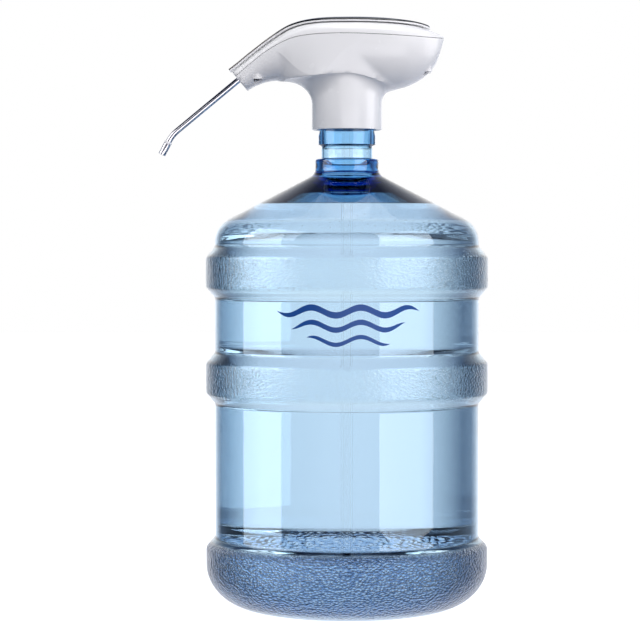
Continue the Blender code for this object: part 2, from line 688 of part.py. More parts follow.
def make_lower_shell():
    """The lower housing: hull, collar, the deck that rests on the neck, and the screw wells."""
    shell = lower_solid("lower_shell", COLLAR_RADIUS, 0.0, 0.0, 0.0, WHITE)
    boolean(shell, front_cutter("snout_plane", 0.0), "DIFFERENCE")
    cavity = lower_solid("lower_cavity", COLLAR_RADIUS - COLLAR_WALL, HULL_WALL, 0.010, 0.010, group=CUTTERS)
    boolean(cavity, front_cutter("snout_wall_plane", HULL_WALL), "DIFFERENCE")
    boolean(shell, cavity, "DIFFERENCE")
    lip_top = NECK_TOP - COLLAR_DROP + COLLAR_LIP_HEIGHT
    inside = COLLAR_RADIUS - COLLAR_WALL / 2
    lip_low = NECK_TOP - COLLAR_DROP + 0.0002
    lip_outline = [(COLLAR_LIP_RADIUS, lip_top), (inside, lip_top),
                   (inside, lip_low), (COLLAR_LIP_RADIUS, lip_low)]
    lip = turned("collar_lip", lip_outline, group=CUTTERS, steps=24)
    boolean(shell, lip, "UNION")
    deck = turned("deck", [(ELBOW_SPIGOT_RADIUS + CLEARANCE, DECK_Z), (inside, DECK_Z), (inside, CEILING_Z),
                           (ELBOW_SPIGOT_RADIUS + CLEARANCE, CEILING_Z)], group=CUTTERS, steps=24)
    boolean(shell, deck, "UNION")
    for name, x, y in screw_places():
        x *= HEAD_LENGTH_SCALE
        shelf = shelf_z(x / HEAD_LENGTH_SCALE, y)
        wall = SCREW_WELL_RADIUS + SCREW_WELL_WALL
        bottom = lower_z(x, y, COLLAR_RADIUS) + HULL_WALL * 0.6
        well = cylinder(f"well_{name}", wall, (x, y, bottom), (x, y, shelf + SHELF_THICKNESS), group=CUTTERS,
                        segments=14)
        boolean(shell, well, "UNION")
    for name, x, y in screw_places():
        x *= HEAD_LENGTH_SCALE
        shelf = shelf_z(x / HEAD_LENGTH_SCALE, y)
        hole = cylinder(f"well_hole_{name}", SCREW_WELL_RADIUS, (x, y, shelf - 0.030), (x, y, shelf),
                        group=CUTTERS, segments=14)
        boolean(shell, hole, "DIFFERENCE")
        shank = cylinder(f"shank_hole_{name}", SCREW_SHANK_RADIUS + CLEARANCE, (x, y, shelf - 0.002),
                         (x, y, shelf + 0.010), group=CUTTERS, segments=10)
        boolean(shell, shank, "DIFFERENCE")
    spout_hole = cylinder("spout_hole", SPOUT_SOCKET_RADIUS - 0.0008, SPOUT_EXIT + SPOUT_DIRECTION * 0.01,
                          SPOUT_EXIT - SPOUT_DIRECTION * 0.01, group=CUTTERS)
    boolean(shell, spout_hole, "DIFFERENCE")
    recess = (2 * (FLAP_THICKNESS + CLEARANCE), FLAP_WIDTH + 2 * RUNNING_CLEARANCE,
              FLAP_HEIGHT + 2 * RUNNING_CLEARANCE)
    boundary = (0.010, FLAP_WIDTH + 0.0030, FLAP_HEIGHT + 0.0030)
    frame = flap_block("port_frame", boundary, 0.0058)
    boolean(frame, hull_core("port_frame_core"), "INTERSECT")
    boolean(shell, frame, "UNION")
    boolean(shell, flap_block("flap_recess", recess, 0.0), "DIFFERENCE")
    opening = (0.040, SOCKET_WIDTH + 2 * CLEARANCE, SOCKET_HEIGHT + 2 * CLEARANCE)
    boolean(shell, flap_block("port_opening", opening, 0.005), "DIFFERENCE")
    return shell


def hull_core(name):
    """The lower hull's solid shape just inside its skin, used to trim what stands on its inside."""
    return lower_solid(name, COLLAR_RADIUS - COLLAR_WALL / 2, HULL_WALL / 2, -0.002, 0.0, group=CUTTERS)


def make_upper_shell():
    """The upper housing, with the panel's seat, the bosses that take the screws and the button's guide."""
    shell = upper_solid("upper_shell", 0.0, 0.0, WHITE)
    boolean(shell, front_cutter("upper_snout_plane", 0.0), "DIFFERENCE")
    cavity = upper_solid("upper_cavity", HULL_WALL, 0.010, group=CUTTERS)
    boolean(cavity, front_cutter("upper_snout_wall_plane", HULL_WALL), "DIFFERENCE")
    boolean(shell, cavity, "DIFFERENCE")
    for name, x, y in screw_places():
        x *= HEAD_LENGTH_SCALE
        foot = shelf_z(x / HEAD_LENGTH_SCALE, y) + SHELF_THICKNESS + CLEARANCE
        top = upper_z(x, y, HULL_WALL) + HULL_WALL / 2
        boss = cylinder(f"boss_{name}", 0.0036, (x, y, foot), (x, y, top), group=CUTTERS, segments=12)
        boolean(shell, boss, "UNION")
        bore = cylinder(f"boss_bore_{name}", SCREW_SHANK_RADIUS + CLEARANCE, (x, y, foot - 0.002),
                        (x, y, foot + 0.0105), group=CUTTERS, segments=10)
        boolean(shell, bore, "DIFFERENCE")
    seat = upper_z(BUTTON_X, 0.0)
    guide = cylinder("stem_hole", BUTTON_STEM_RADIUS + RUNNING_CLEARANCE, (BUTTON_X, 0, seat - 0.020),
                     (BUTTON_X, 0, seat + 0.010), group=CUTTERS)
    boolean(shell, guide, "DIFFERENCE")
    pipe = cylinder("light_hole", LIGHT_RADIUS + CLEARANCE, (LIGHT_X, 0, seat - 0.020),
                    (LIGHT_X, 0, seat + 0.010), group=CUTTERS, segments=16)
    boolean(shell, pipe, "DIFFERENCE")
    return shell


def panel_z(x, y, rise):
    """Height above the upper shell, measured square to its slope along the head."""
    step = 0.002
    slope = (along_curve(TOP_CURVE, x + step) - along_curve(TOP_CURVE, x - step)) / (2 * step)
    return upper_z(x, y) + PARTING_GAP + rise * math.sqrt(1.0 + slope * slope)


def make_top_panel():
    """The glossy cover: a plate with an inset step that seats on the upper shell and leaves a shadow gap."""
    low, middle = PANEL_SEAT_CLEARANCE, PANEL_GAP
    top = PANEL_GAP + PANEL_THICKNESS
    inner = [share for share in TOP_SHARES if share < PANEL_SHARE - 0.02]
    levels = [(share, low) for share in inner]
    levels += [(inner[-1], middle), (PANEL_SHARE, middle), (PANEL_SHARE, top - PANEL_EDGE)]
    levels += [(share, top) for share in [PANEL_SHARE - 0.02, *reversed(inner)]]
    outline = hull_outline()
    rings = []
    for share, rise in levels:
        rings.append(scaled_ring(outline, share, lambda x, y, rise=rise: panel_z(x, y, rise)))
    start, end = (0.0, 0.0, panel_z(0.0, 0.0, low)), (0.0, 0.0, panel_z(0.0, 0.0, top))
    panel = ring_solid("top_panel", rings, start, end, BLACK)
    boolean(panel, front_cutter("panel_front_plane", -PANEL_PROUD), "DIFFERENCE")
    seat = panel_z(BUTTON_X, 0.0, 0.0)
    hole = cylinder("button_hole", BUTTON_RADIUS + RUNNING_CLEARANCE, (BUTTON_X, 0, seat - 0.010),
                    (BUTTON_X, 0, seat + 0.020), group=CUTTERS, segments=32)
    boolean(panel, hole, "DIFFERENCE")
    lamp = cylinder("lamp_hole", LIGHT_RADIUS + CLEARANCE, (LIGHT_X, 0, seat - 0.010),
                    (LIGHT_X, 0, seat + 0.020), group=CUTTERS, segments=16)
    return boolean(panel, lamp, "DIFFERENCE")


# ================================================================ button, light and board
BUTTON_TOP = panel_z(BUTTON_X, 0.0, PANEL_GAP + PANEL_THICKNESS) + 0.0006
BUTTON_SEAT = upper_z(BUTTON_X, 0.0) + PARTING_GAP
BOARD_TOP = BUTTON_SEAT - BOARD_DEPTH_BELOW_SEAT
SWITCH_BODY = 0.0035
SWITCH_TOP = BOARD_TOP + CLEARANCE + SWITCH_BODY + 0.0010


def make_button():
    """The dispensing button: a domed cap with a stem that reaches the switch."""
    cap_low = BUTTON_TOP - BUTTON_CAP_THICKNESS
    stem_low = SWITCH_TOP + CLEARANCE + BUTTON_TRAVEL
    profile = [(0.0, BUTTON_TOP), (BUTTON_RADIUS * 0.6, BUTTON_TOP - 0.0001),
               (BUTTON_RADIUS - 0.0008, BUTTON_TOP - 0.0004), (BUTTON_RADIUS, BUTTON_TOP - 0.0012),
               (BUTTON_RADIUS, cap_low), (BUTTON_STEM_RADIUS, cap_low), (BUTTON_STEM_RADIUS, stem_low),
               (0.0, stem_low)]
    made = turned("dispense_button", profile, GREY, steps=32)
    made.location = (BUTTON_X, 0.0, 0.0)
    spring_low = BUTTON_SEAT + SPRING_WIRE_RADIUS + CLEARANCE
    spring_high = cap_low - SPRING_WIRE_RADIUS - CLEARANCE / 3
    steps = SPRING_TURNS * 20
    coil = []
    for step in range(steps + 1):
        angle = 2 * math.pi * SPRING_TURNS * step / steps
        reach = SPRING_FOOT_RADIUS + (SPRING_RADIUS - SPRING_FOOT_RADIUS) * step / steps
        coil.append((BUTTON_X + reach * math.cos(angle), reach * math.sin(angle),
                     spring_low + (spring_high - spring_low) * step / steps))
    wire = rod("button_spring_line", coil, SPRING_WIRE_RADIUS, None, CUTTERS, resolution=0)
    spring = mesh_from_curve("button_spring", baked_mesh(wire), STEEL)
    bpy.data.objects.remove(wire, do_unlink=True)
    split_into_triangles(spring.data)


def make_board():
    """The control board under the panel, its switch and its status light."""
    size = (0.050, 0.026, BOARD_THICKNESS)
    centre = (BUTTON_X - 0.012, 0.0, BOARD_TOP - BOARD_THICKNESS / 2)
    box("control_board", size, centre, GREEN)
    body_low = BOARD_TOP + CLEARANCE
    switch = box("switch", (0.0060, 0.0060, SWITCH_BODY), (BUTTON_X, 0, body_low + SWITCH_BODY / 2), BLACK)
    plunger = cylinder("switch_plunger", 0.0016, (BUTTON_X, 0, body_low + SWITCH_BODY / 2),
                       (BUTTON_X, 0, SWITCH_TOP), group=CUTTERS, segments=16)
    boolean(switch, plunger, "UNION")
    top = panel_z(LIGHT_X, 0.0, PANEL_GAP + PANEL_THICKNESS) - 0.0002
    lens = [(0.0, top), (LIGHT_RADIUS, top), (LIGHT_RADIUS, BOARD_TOP + 0.0015), (0.0, BOARD_TOP + 0.0015)]
    turned("status_light", lens, LENS, steps=16).location = (LIGHT_X, 0.0, 0.0)


# ================================================================ drive
MOTOR_FRONT = on_head(*MOTOR_AXIS)
CASE_HALF_WIDTH = GEAR_TEETH * GEAR_MODULE / 2 + GEAR_MODULE + RUNNING_CLEARANCE + GEAR_CASE_WALL
CASE_LENGTH = GEAR_WIDTH + 2 * RUNNING_CLEARANCE + 2 * GEAR_CASE_WALL
COVER_THICKNESS = GEAR_CASE_WALL
CASE_FRONT_X = MOTOR_FRONT.x - CLEARANCE - CASE_LENGTH


def gear_outline(phase):
    """A spur gear's outline with thinned, straight-sided teeth, so that a pair turns with backlash."""
    pitch = GEAR_TEETH * GEAR_MODULE / 2
    root, tip = pitch - 1.15 * GEAR_MODULE, pitch + 0.9 * GEAR_MODULE
    tooth = 2 * math.pi / GEAR_TEETH
    flank = ((root, -0.26), (pitch, -0.19), (tip, -0.09), (tip, 0.09), (pitch, 0.19), (root, 0.26))
    outline = []
    for index in range(GEAR_TEETH):
        middle = phase + index * tooth
        for radius, share in flank:
            angle = middle + share * tooth
            outline.append((radius * math.cos(angle), radius * math.sin(angle)))
    return outline


def place_along_x(item, x, y, z):
    """Turn an object's local Z to world X and put it there, as a mesh turned in place."""
    item.rotation_euler = (0.0, math.pi / 2, 0.0)
    item.location = (x, y, z)
    return item


def make_gear(name, z, phase, shaft_start, shaft_end, finish):
    """One gear with its shaft."""
    middle = CASE_FRONT_X + GEAR_CASE_WALL + RUNNING_CLEARANCE + GEAR_WIDTH / 2
    gear = extruded(name, gear_outline(phase), GEAR_WIDTH, finish)
    place_along_x(gear, middle, MOTOR_FRONT.y, z)
    shaft = cylinder(name + "_shaft", SHAFT_RADIUS, (shaft_start, MOTOR_FRONT.y, z),
                     (shaft_end, MOTOR_FRONT.y, z), group=CUTTERS, segments=12)
    return boolean(gear, shaft, "UNION")


def stadium(half_width_value, spacing, steps=12):
    """Two half circles joined by straight sides, in the gear case's section."""
    points = []
    for step in range(steps + 1):
        angle = math.pi * step / steps
        points.append((-spacing - half_width_value * math.sin(angle), half_width_value * math.cos(angle)))
    for step in range(steps + 1):
        angle = math.pi * step / steps
        points.append((half_width_value * math.sin(angle), -half_width_value * math.cos(angle)))
    return points


def make_pump():
    """The gear pump and its motor, lying along the head."""
    x, y, z = MOTOR_FRONT
    upper = z + GEAR_SPACING
    case_length = CASE_LENGTH - COVER_THICKNESS - CLEARANCE
    case_middle = CASE_FRONT_X + COVER_THICKNESS + CLEARANCE + case_length / 2
    case = extruded("gear_case", stadium(CASE_HALF_WIDTH, GEAR_SPACING), case_length, GREY)
    place_along_x(case, case_middle, y, z)
    pocket_radius = CASE_HALF_WIDTH - GEAR_CASE_WALL
    depth = 0.030
    for name, height in (("drive_pocket", z), ("idler_pocket", upper)):
        pocket = cylinder(name, pocket_radius, (x - CLEARANCE - GEAR_CASE_WALL - depth, y, height),
                          (x - CLEARANCE - GEAR_CASE_WALL, y, height), group=CUTTERS, segments=32)
        boolean(case, pocket, "DIFFERENCE")
    bore = cylinder("shaft_bore", SHAFT_RADIUS + CLEARANCE, (x - 0.02, y, z), (x + 0.01, y, z), group=CUTTERS,
                    segments=16)
    boolean(case, bore, "DIFFERENCE")
    idler_bore = cylinder("idler_bore", SHAFT_RADIUS + CLEARANCE, (x - 0.02, y, upper),
                          (x - CLEARANCE - 0.0010, y, upper), group=CUTTERS, segments=16)
    boolean(case, idler_bore, "DIFFERENCE")
    cover = extruded("pump_cover", stadium(CASE_HALF_WIDTH, GEAR_SPACING), COVER_THICKNESS, GREY)
    place_along_x(cover, CASE_FRONT_X + COVER_THICKNESS / 2, y, z)
    for side, offset in (("inlet", PORT_OFFSET), ("outlet", -PORT_OFFSET)):
        port = cylinder(f"{side}_port", PORT_RADIUS, (CASE_FRONT_X - PORT_LENGTH, y + offset, PORT_Z),
                        (CASE_FRONT_X + 0.001, y + offset, PORT_Z), group=CUTTERS, segments=16)
        boolean(cover, port, "UNION")
        hole = cylinder(f"{side}_bore", PORT_BORE, (CASE_FRONT_X - PORT_LENGTH - 0.002, y + offset, PORT_Z),
                        (CASE_FRONT_X + 0.010, y + offset, PORT_Z), group=CUTTERS, segments=12)
        boolean(cover, hole, "DIFFERENCE")
    start = CASE_FRONT_X + COVER_THICKNESS + CLEARANCE
    make_gear("drive_gear", z, 0.0, start, x + 0.0080, BRASS)
    make_gear("idler_gear", upper, math.pi / GEAR_TEETH, start, x - CLEARANCE - 0.0016, BRASS)
    motor = turned("pump_motor", [
        (0.0, MOTOR_LENGTH), (0.0030, MOTOR_LENGTH), (0.0032, MOTOR_LENGTH - 0.0015),
        (MOTOR_RADIUS - 0.0010, MOTOR_LENGTH - 0.0015), (MOTOR_RADIUS, MOTOR_LENGTH - 0.0025),
        (MOTOR_RADIUS, 0.0), (SHAFT_RADIUS + CLEARANCE, 0.0), (SHAFT_RADIUS + CLEARANCE, 0.0100),
        (0.0, 0.0100)], STEEL, steps=28)
    place_along_x(motor, x, y, z)
    return upper


PORT_OFFSET = 0.0062
PORT_Z = MOTOR_FRONT.z + GEAR_SPACING / 2


def make_motor_cradle():
    """The saddle that carries the motor on the collar's deck."""
    x, y, z = MOTOR_FRONT
    low, high = DECK_Z + CLEARANCE, z - 0.004
    middle = (x + 0.0130, y + 0.0010, (low + high) / 2)
    block = box("motor_cradle", (0.0130, 0.0170, high - low), middle, GREY)
    seat = cylinder("cradle_seat", MOTOR_RADIUS + CLEARANCE, (x - 0.01, y, z), (x + 0.04, y, z),
                    group=CUTTERS, segments=32)
    return boolean(block, seat, "DIFFERENCE")


# ================================================================ water path
ELBOW_SPIGOT_RADIUS = 0.0023
ELBOW_Z = DECK_Z + 0.0060
ELBOW_END_X = -0.0100


def make_inlet():
    """The elbow on the deck, the hose to the pump, and the suction tube with its strainer."""
    flange = turned("inlet_elbow", [
        (0.0, ELBOW_Z + 0.0026), (0.0040, ELBOW_Z + 0.0026), (0.0040, DECK_Z + 0.0018),
        (0.0070, DECK_Z + 0.0018), (0.0070, DECK_Z + CLEARANCE), (ELBOW_SPIGOT_RADIUS, DECK_Z + CLEARANCE),
        (ELBOW_SPIGOT_RADIUS, CEILING_Z - 0.0120), (0.0, CEILING_Z - 0.0120)], CLEAR)
    arm = cylinder("elbow_arm", PORT_RADIUS, (ELBOW_END_X, 0, ELBOW_Z), (0, 0, ELBOW_Z),
                   group=CUTTERS, segments=16)
    boolean(flange, arm, "UNION")
    up = cylinder("elbow_bore", PORT_BORE, (0, 0, CEILING_Z - 0.020), (0, 0, ELBOW_Z + 0.0010), group=CUTTERS,
                  segments=12)
    boolean(flange, up, "DIFFERENCE")
    along = cylinder("elbow_arm_bore", PORT_BORE, (ELBOW_END_X - 0.002, 0, ELBOW_Z), (-0.0004, 0, ELBOW_Z),
                     group=CUTTERS, segments=12)
    boolean(flange, along, "DIFFERENCE")
    mouth = CASE_FRONT_X - 0.0012
    port_y = MOTOR_FRONT.y + PORT_OFFSET
    middle = (ELBOW_Z + PORT_Z) / 2
    route = smooth_route([(ELBOW_END_X + 0.0050, 0, ELBOW_Z), (ELBOW_END_X - 0.0070, 0, ELBOW_Z),
                          (ELBOW_END_X - 0.0190, -0.0010, ELBOW_Z + 0.0050),
                          (ELBOW_END_X - 0.0230, port_y / 2, middle),
                          (ELBOW_END_X - 0.0180, port_y, PORT_Z - 0.0035), (mouth - 0.0080, port_y, PORT_Z),
                          (mouth, port_y, PORT_Z)])
    tube("inlet_hose", route, HOSE_RADIUS, HOSE_BORE, CLEAR)
    suction_low = BOTTLE_FLOOR + SUCTION_CLEARANCE + 0.0062
    suction_top = CEILING_Z - CLEARANCE
    suction = turned("suction_tube", [
        (SUCTION_RADIUS, suction_top), (SUCTION_RADIUS, suction_low),
        (SUCTION_BORE, suction_low), (SUCTION_BORE, suction_top)], CLEAR, steps=20)
    strainer_low = BOTTLE_FLOOR + SUCTION_CLEARANCE
    top = strainer_low + STRAINER_HEIGHT
    grip = SUCTION_RADIUS + CLEARANCE
    cup = turned("suction_strainer", [
        (grip, top), (grip + 0.0012, top), (STRAINER_RADIUS, top - 0.0045), (STRAINER_RADIUS, strainer_low),
        (STRAINER_RADIUS - 0.0015, strainer_low), (STRAINER_RADIUS - 0.0015, suction_low - 0.0030),
        (grip - 0.0025, suction_low - CLEARANCE), (grip, suction_low - CLEARANCE)], CLEAR, steps=28)
    for index in range(3):
        angle = math.pi * index / 3
        slot = box(f"strainer_slot_{index}", (0.0300, 0.0020, 0.0060), (0, 0, strainer_low), group=CUTTERS,
                   rotation=(0, 0, angle))
        boolean(cup, slot, "DIFFERENCE")
    return suction


def make_neck_seal():
    """The soft ring inside the collar that grips the bottle's neck, and that the head turns on."""
    low = NECK_TOP - COLLAR_DROP + COLLAR_LIP_HEIGHT + RUNNING_CLEARANCE
    high = CEILING_Z - 0.0030
    outer = COLLAR_RADIUS - COLLAR_WALL - RUNNING_CLEARANCE - 0.0003
    inner = CROWN_BEAD_RADIUS + RUNNING_CLEARANCE
    return turned("neck_seal", [(inner, high), (outer, high), (outer, low), (inner, low)], RUBBER, steps=36)


# ================================================================ spout
def spout_route():
    """The spout's centre line, from its end inside the socket round the bend to the nozzle."""
    start = SPOUT_EXIT - SPOUT_DIRECTION * SPOUT_INSERTION
    bend = SPOUT_EXIT + SPOUT_DIRECTION * SPOUT_LENGTH
    turn = SPOUT_TIP_ANGLE - SPOUT_ANGLE
    side = Vector((SPOUT_DIRECTION.z, 0.0, -SPOUT_DIRECTION.x))
    if side.z > 0:
        side.negate()
    centre = bend + side * SPOUT_BEND_RADIUS
    route = [start, start.lerp(bend, 0.5), bend]
    steps = 6
    for step in range(1, steps + 1):
        angle = turn * step / steps
        route.append(centre - side * SPOUT_BEND_RADIUS * math.cos(angle)
                     + SPOUT_DIRECTION * SPOUT_BEND_RADIUS * math.sin(angle))
    route.append(route[-1] + TIP_DIRECTION * NOZZLE_OVERLAP)
    return route


def along_direction(item, base, direction):
    """Point an object's local Z along a direction, from a base point."""
    item.location = base
    item.rotation_euler = direction.to_track_quat("Z", "Y").to_euler()
    return item


def make_spout():
    """The steel spout, its nozzle and ring, and the socket and seal that hold it."""
    route = spout_route()
    tube("spout_tube", route, SPOUT_TUBE_RADIUS, SPOUT_TUBE_BORE, CHROME)
    end = route[-1]
    grip = SPOUT_TUBE_RADIUS + CLEARANCE
    nozzle_top = end - TIP_DIRECTION * (NOZZLE_OVERLAP - NOZZLE_RING_LENGTH - CLEARANCE)
    nozzle = turned("spout_nozzle", [
        (grip, NOZZLE_LENGTH), (NOZZLE_RADIUS - 0.0003, NOZZLE_LENGTH),
        (NOZZLE_RADIUS, NOZZLE_LENGTH - 0.0006),
        (NOZZLE_RADIUS, 0.0008), (NOZZLE_RADIUS - 0.0004, 0.0), (0.0026, 0.0), (0.0026, 0.0035),
        (grip, 0.0038)], CHROME)
    along_direction(nozzle, nozzle_top + TIP_DIRECTION * NOZZLE_LENGTH, -TIP_DIRECTION)
    ring = turned("nozzle_ring", [(grip, NOZZLE_RING_LENGTH), (NOZZLE_RING_RADIUS, NOZZLE_RING_LENGTH),
                                  (NOZZLE_RING_RADIUS, 0.0), (grip, 0.0)], WHITE)
    along_direction(ring, nozzle_top - TIP_DIRECTION * CLEARANCE, -TIP_DIRECTION)
    back = HULL_WALL + CLEARANCE
    bore = SPOUT_TUBE_RADIUS + RUNNING_CLEARANCE
    groove = 0.0040
    length = SPOUT_SOCKET_LENGTH
    stop = SPOUT_INSERTION - back + CLEARANCE
    socket = turned("spout_socket", [
        (bore, 0.0), (bore, groove), (bore + 0.0012, groove), (bore + 0.0012, groove + 0.0022),
        (bore, groove + 0.0022), (bore, stop), (PORT_BORE, stop), (PORT_BORE, length + 0.0060),
        (PORT_RADIUS, length + 0.0060), (PORT_RADIUS, length), (SPOUT_SOCKET_RADIUS, length - 0.0040),
        (SPOUT_SOCKET_RADIUS, 0.0)], GREY)
    along_direction(socket, SPOUT_EXIT - SPOUT_DIRECTION * back, -SPOUT_DIRECTION)
    seal_radius, seal_tube = bore + 0.0004, 0.0006
    profile = arc((seal_radius, groove + 0.0011), (seal_tube - 0.0003, seal_tube), 360, 45, 7)
    seal = turned("spout_seal", profile, RUBBER)
    along_direction(seal, SPOUT_EXIT - SPOUT_DIRECTION * back, -SPOUT_DIRECTION)
    barb = SPOUT_EXIT - SPOUT_DIRECTION * (back + length + 0.0006)
    port_y = MOTOR_FRONT.y - PORT_OFFSET
    mouth = Vector((CASE_FRONT_X - 0.0012, port_y, PORT_Z))
    flatter = HEAD_LENGTH_SCALE ** 2       # a longer head has a flatter roof, so its hose levels off sooner
    tail = barb - SPOUT_DIRECTION * (0.0140 / flatter)
    crest = tail.lerp(mouth, 0.22) + Vector((0, 0, 0.0020 / flatter ** 3))
    fall = tail.lerp(mouth, 0.50) + Vector((0, -0.0010, 0.0012))
    route = smooth_route([barb, barb - SPOUT_DIRECTION * 0.0070, tail, crest, fall,
                          mouth - Vector((0.0160, 0, 0)), mouth - Vector((0.0080, 0, 0)), mouth])
    tube("outlet_hose", route, HOSE_RADIUS, HOSE_BORE, CLEAR)


# ================================================================ battery and charging
def make_battery():
    """The cell and the tray that holds it."""
    x, y, z = on_head(*BATTERY_AXIS)
    start = x - BATTERY_LENGTH / 2
    cell = turned("battery", [
        (0.0, BATTERY_LENGTH), (0.0028, BATTERY_LENGTH), (0.0028, BATTERY_LENGTH - 0.0010),
        (BATTERY_RADIUS - 0.0006, BATTERY_LENGTH - 0.0010), (BATTERY_RADIUS, BATTERY_LENGTH - 0.0018),
        (BATTERY_RADIUS, 0.0006), (BATTERY_RADIUS - 0.0006, 0.0), (0.0, 0.0)], CELL)
    place_along_x(cell, start, y, z)
    tray = box("battery_tray", (BATTERY_LENGTH + 0.0050, BATTERY_RADIUS * 1.5, 0.0060),
               (x, y, z - BATTERY_RADIUS + 0.0012), BLACK)
    room = cylinder("tray_room", BATTERY_RADIUS + CLEARANCE, (start - CLEARANCE, y, z),
                    (start + BATTERY_LENGTH + CLEARANCE, y, z), group=CUTTERS, segments=32)
    return boolean(tray, room, "DIFFERENCE")


def make_charging():
    """The charging socket and its board at the rear, and the soft flap that covers it."""
    inner = FLAP_THICKNESS + CLEARANCE
    socket = flap_block("charge_socket", (SOCKET_DEPTH, SOCKET_WIDTH, SOCKET_HEIGHT),
                        inner + 0.0004 + SOCKET_DEPTH / 2, PARTS, STEEL, 0.0006)
    mouth = (0.0100, SOCKET_WIDTH - 0.0014, SOCKET_HEIGHT - 0.0012)
    boolean(socket, flap_block("socket_mouth", mouth, inner), "DIFFERENCE")
    board = flap_block("charge_board", (0.0120, 0.0130, 0.0012), inner + 0.0100 + 0.0062, PARTS, GREEN)
    drop = SOCKET_HEIGHT / 2 - 0.0006
    board.location = board.location + Vector((math.sin(FLAP_TILT), 0, math.cos(FLAP_TILT))) * -drop
    flap_size = (FLAP_THICKNESS, FLAP_WIDTH, FLAP_HEIGHT)
    flap = flap_block("charge_flap", flap_size, FLAP_THICKNESS / 2, PARTS, RUBBER, 0.0003)
    hinge = flap_hinge()
    inverse = Matrix.Translation(hinge) @ Matrix.Rotation(FLAP_TILT, 4, "Y")
    shift = inverse.inverted() @ (Matrix.Translation(flap.location) @ Matrix.Rotation(FLAP_TILT, 4, "Y"))
    flap.data.transform(shift)
    flap.location = hinge
    return flap


def flap_hinge():
    """The flap turns about its lower outer edge."""
    down = Vector((-math.sin(FLAP_TILT), 0.0, -math.cos(FLAP_TILT)))
    return FLAP_CENTRE + down * (FLAP_HEIGHT / 2)


# ================================================================ fasteners and leads
def make_screws():
    """The housing screws, each drawn up under its shelf."""
    for name, x, y in screw_places():
        x *= HEAD_LENGTH_SCALE
        shelf = shelf_z(x / HEAD_LENGTH_SCALE, y)
        under = shelf - CLEARANCE
        length = 0.0110
        turned(f"housing_screw_{name}", [
            (0.0, under + length), (SCREW_SHANK_RADIUS * 0.6, under + length),
            (SCREW_SHANK_RADIUS, under + length - 0.0015), (SCREW_SHANK_RADIUS, under),
            (SCREW_HEAD_RADIUS, under),
            (SCREW_HEAD_RADIUS, under - 0.0014), (SCREW_HEAD_RADIUS - 0.0008, under - 0.0020),
            (0.0012, under - 0.0020), (0.0012, under - 0.0010), (0.0, under - 0.0010)], STEEL,
            steps=10).location = (x, y, 0.0)


def make_leads():
    """The two short leads from the board, one to the motor and one to the battery."""
    x, y, z = MOTOR_FRONT
    radius = 0.0009
    board_low = BOARD_TOP - BOARD_THICKNESS - CLEARANCE - radius
    back = x + MOTOR_LENGTH + 0.0016
    motor_route = smooth_route([
        (BUTTON_X + 0.004, -0.0095, board_low), (BUTTON_X + 0.010, -0.0110, board_low - 0.001),
        (back + 0.0035, y + 0.004, board_low - 0.006), (back + 0.0030, y + 0.007, z + 0.006),
        (back, y + 0.007, z + 0.003)])
    rod("motor_lead", motor_route, radius, RED, resolution=1)
    bx, by, bz = on_head(*BATTERY_AXIS)
    end = bx - BATTERY_LENGTH / 2 - 0.0012
    battery_route = smooth_route([
        (BUTTON_X - 0.030, 0.0060, board_low), (end - 0.0015, 0.0085, board_low - 0.003),
        (end - 0.0035, by - 0.003, bz + 0.006), (end - 0.0016, by, bz + 0.001), (end, by, bz)])
    rod("battery_lead", battery_route, radius, RED, resolution=1)


def main():
    """Build every piece."""
    make_bottle()
    make_neck_seal()
    make_lower_shell()
    make_upper_shell()
    make_top_panel()
    make_button()
    make_board()
    make_pump()
    make_motor_cradle()
    make_inlet()
    make_spout()
    make_battery()
    make_charging()
    make_screws()
    make_leads()


main()
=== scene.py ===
"""The looks of a countertop water dispenser: a rechargeable pump head on a refillable bottle of water.

Metres, +Z up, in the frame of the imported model. The bottle stands on the floor at the origin and the spout
points to -X. The bottle, the water in it, the outside of the head, its seal and the spout are modelled here
at full detail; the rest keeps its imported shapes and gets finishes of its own.
"""

import logging
import math
from dataclasses import dataclass
from enum import Enum
from typing import Callable, Optional, Sequence

import bmesh
import bpy
from mathutils import Matrix, Vector


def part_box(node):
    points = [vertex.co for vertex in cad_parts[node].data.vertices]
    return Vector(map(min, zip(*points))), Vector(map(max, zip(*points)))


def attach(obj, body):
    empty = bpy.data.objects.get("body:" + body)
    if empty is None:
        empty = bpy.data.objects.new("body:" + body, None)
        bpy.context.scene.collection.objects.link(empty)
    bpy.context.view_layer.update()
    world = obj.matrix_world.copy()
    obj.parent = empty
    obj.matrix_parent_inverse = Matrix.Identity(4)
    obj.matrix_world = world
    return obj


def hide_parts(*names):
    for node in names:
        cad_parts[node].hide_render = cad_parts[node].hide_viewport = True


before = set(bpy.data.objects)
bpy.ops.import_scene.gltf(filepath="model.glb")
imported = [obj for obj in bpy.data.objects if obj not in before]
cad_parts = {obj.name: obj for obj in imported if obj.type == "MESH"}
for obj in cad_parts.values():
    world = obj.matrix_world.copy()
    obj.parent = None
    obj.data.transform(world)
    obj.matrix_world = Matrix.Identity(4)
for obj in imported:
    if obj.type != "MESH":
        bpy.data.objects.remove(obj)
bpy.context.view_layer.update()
LOG = logging.getLogger("dispenser")

Pair = tuple[float, float]
Curve = tuple[Pair, ...]
Colour = tuple[float, float, float]
TINY = 1e-6


class Body(Enum):
    """The bodies that pieces ride on."""

    BOTTLE = "bottle"
    SEAL = "seal"
    HEAD = "head"
    SPOUT = "spout"
    BUTTON = "button"
    FLAP = "flap"


class Grain(Enum):
    """How a plastic's surface is broken up, as (cells per metre, depth in metres)."""

    POLISHED = (260.0, 0.000010)
    SATIN = (900.0, 0.000020)
    MATT = (1600.0, 0.000035)


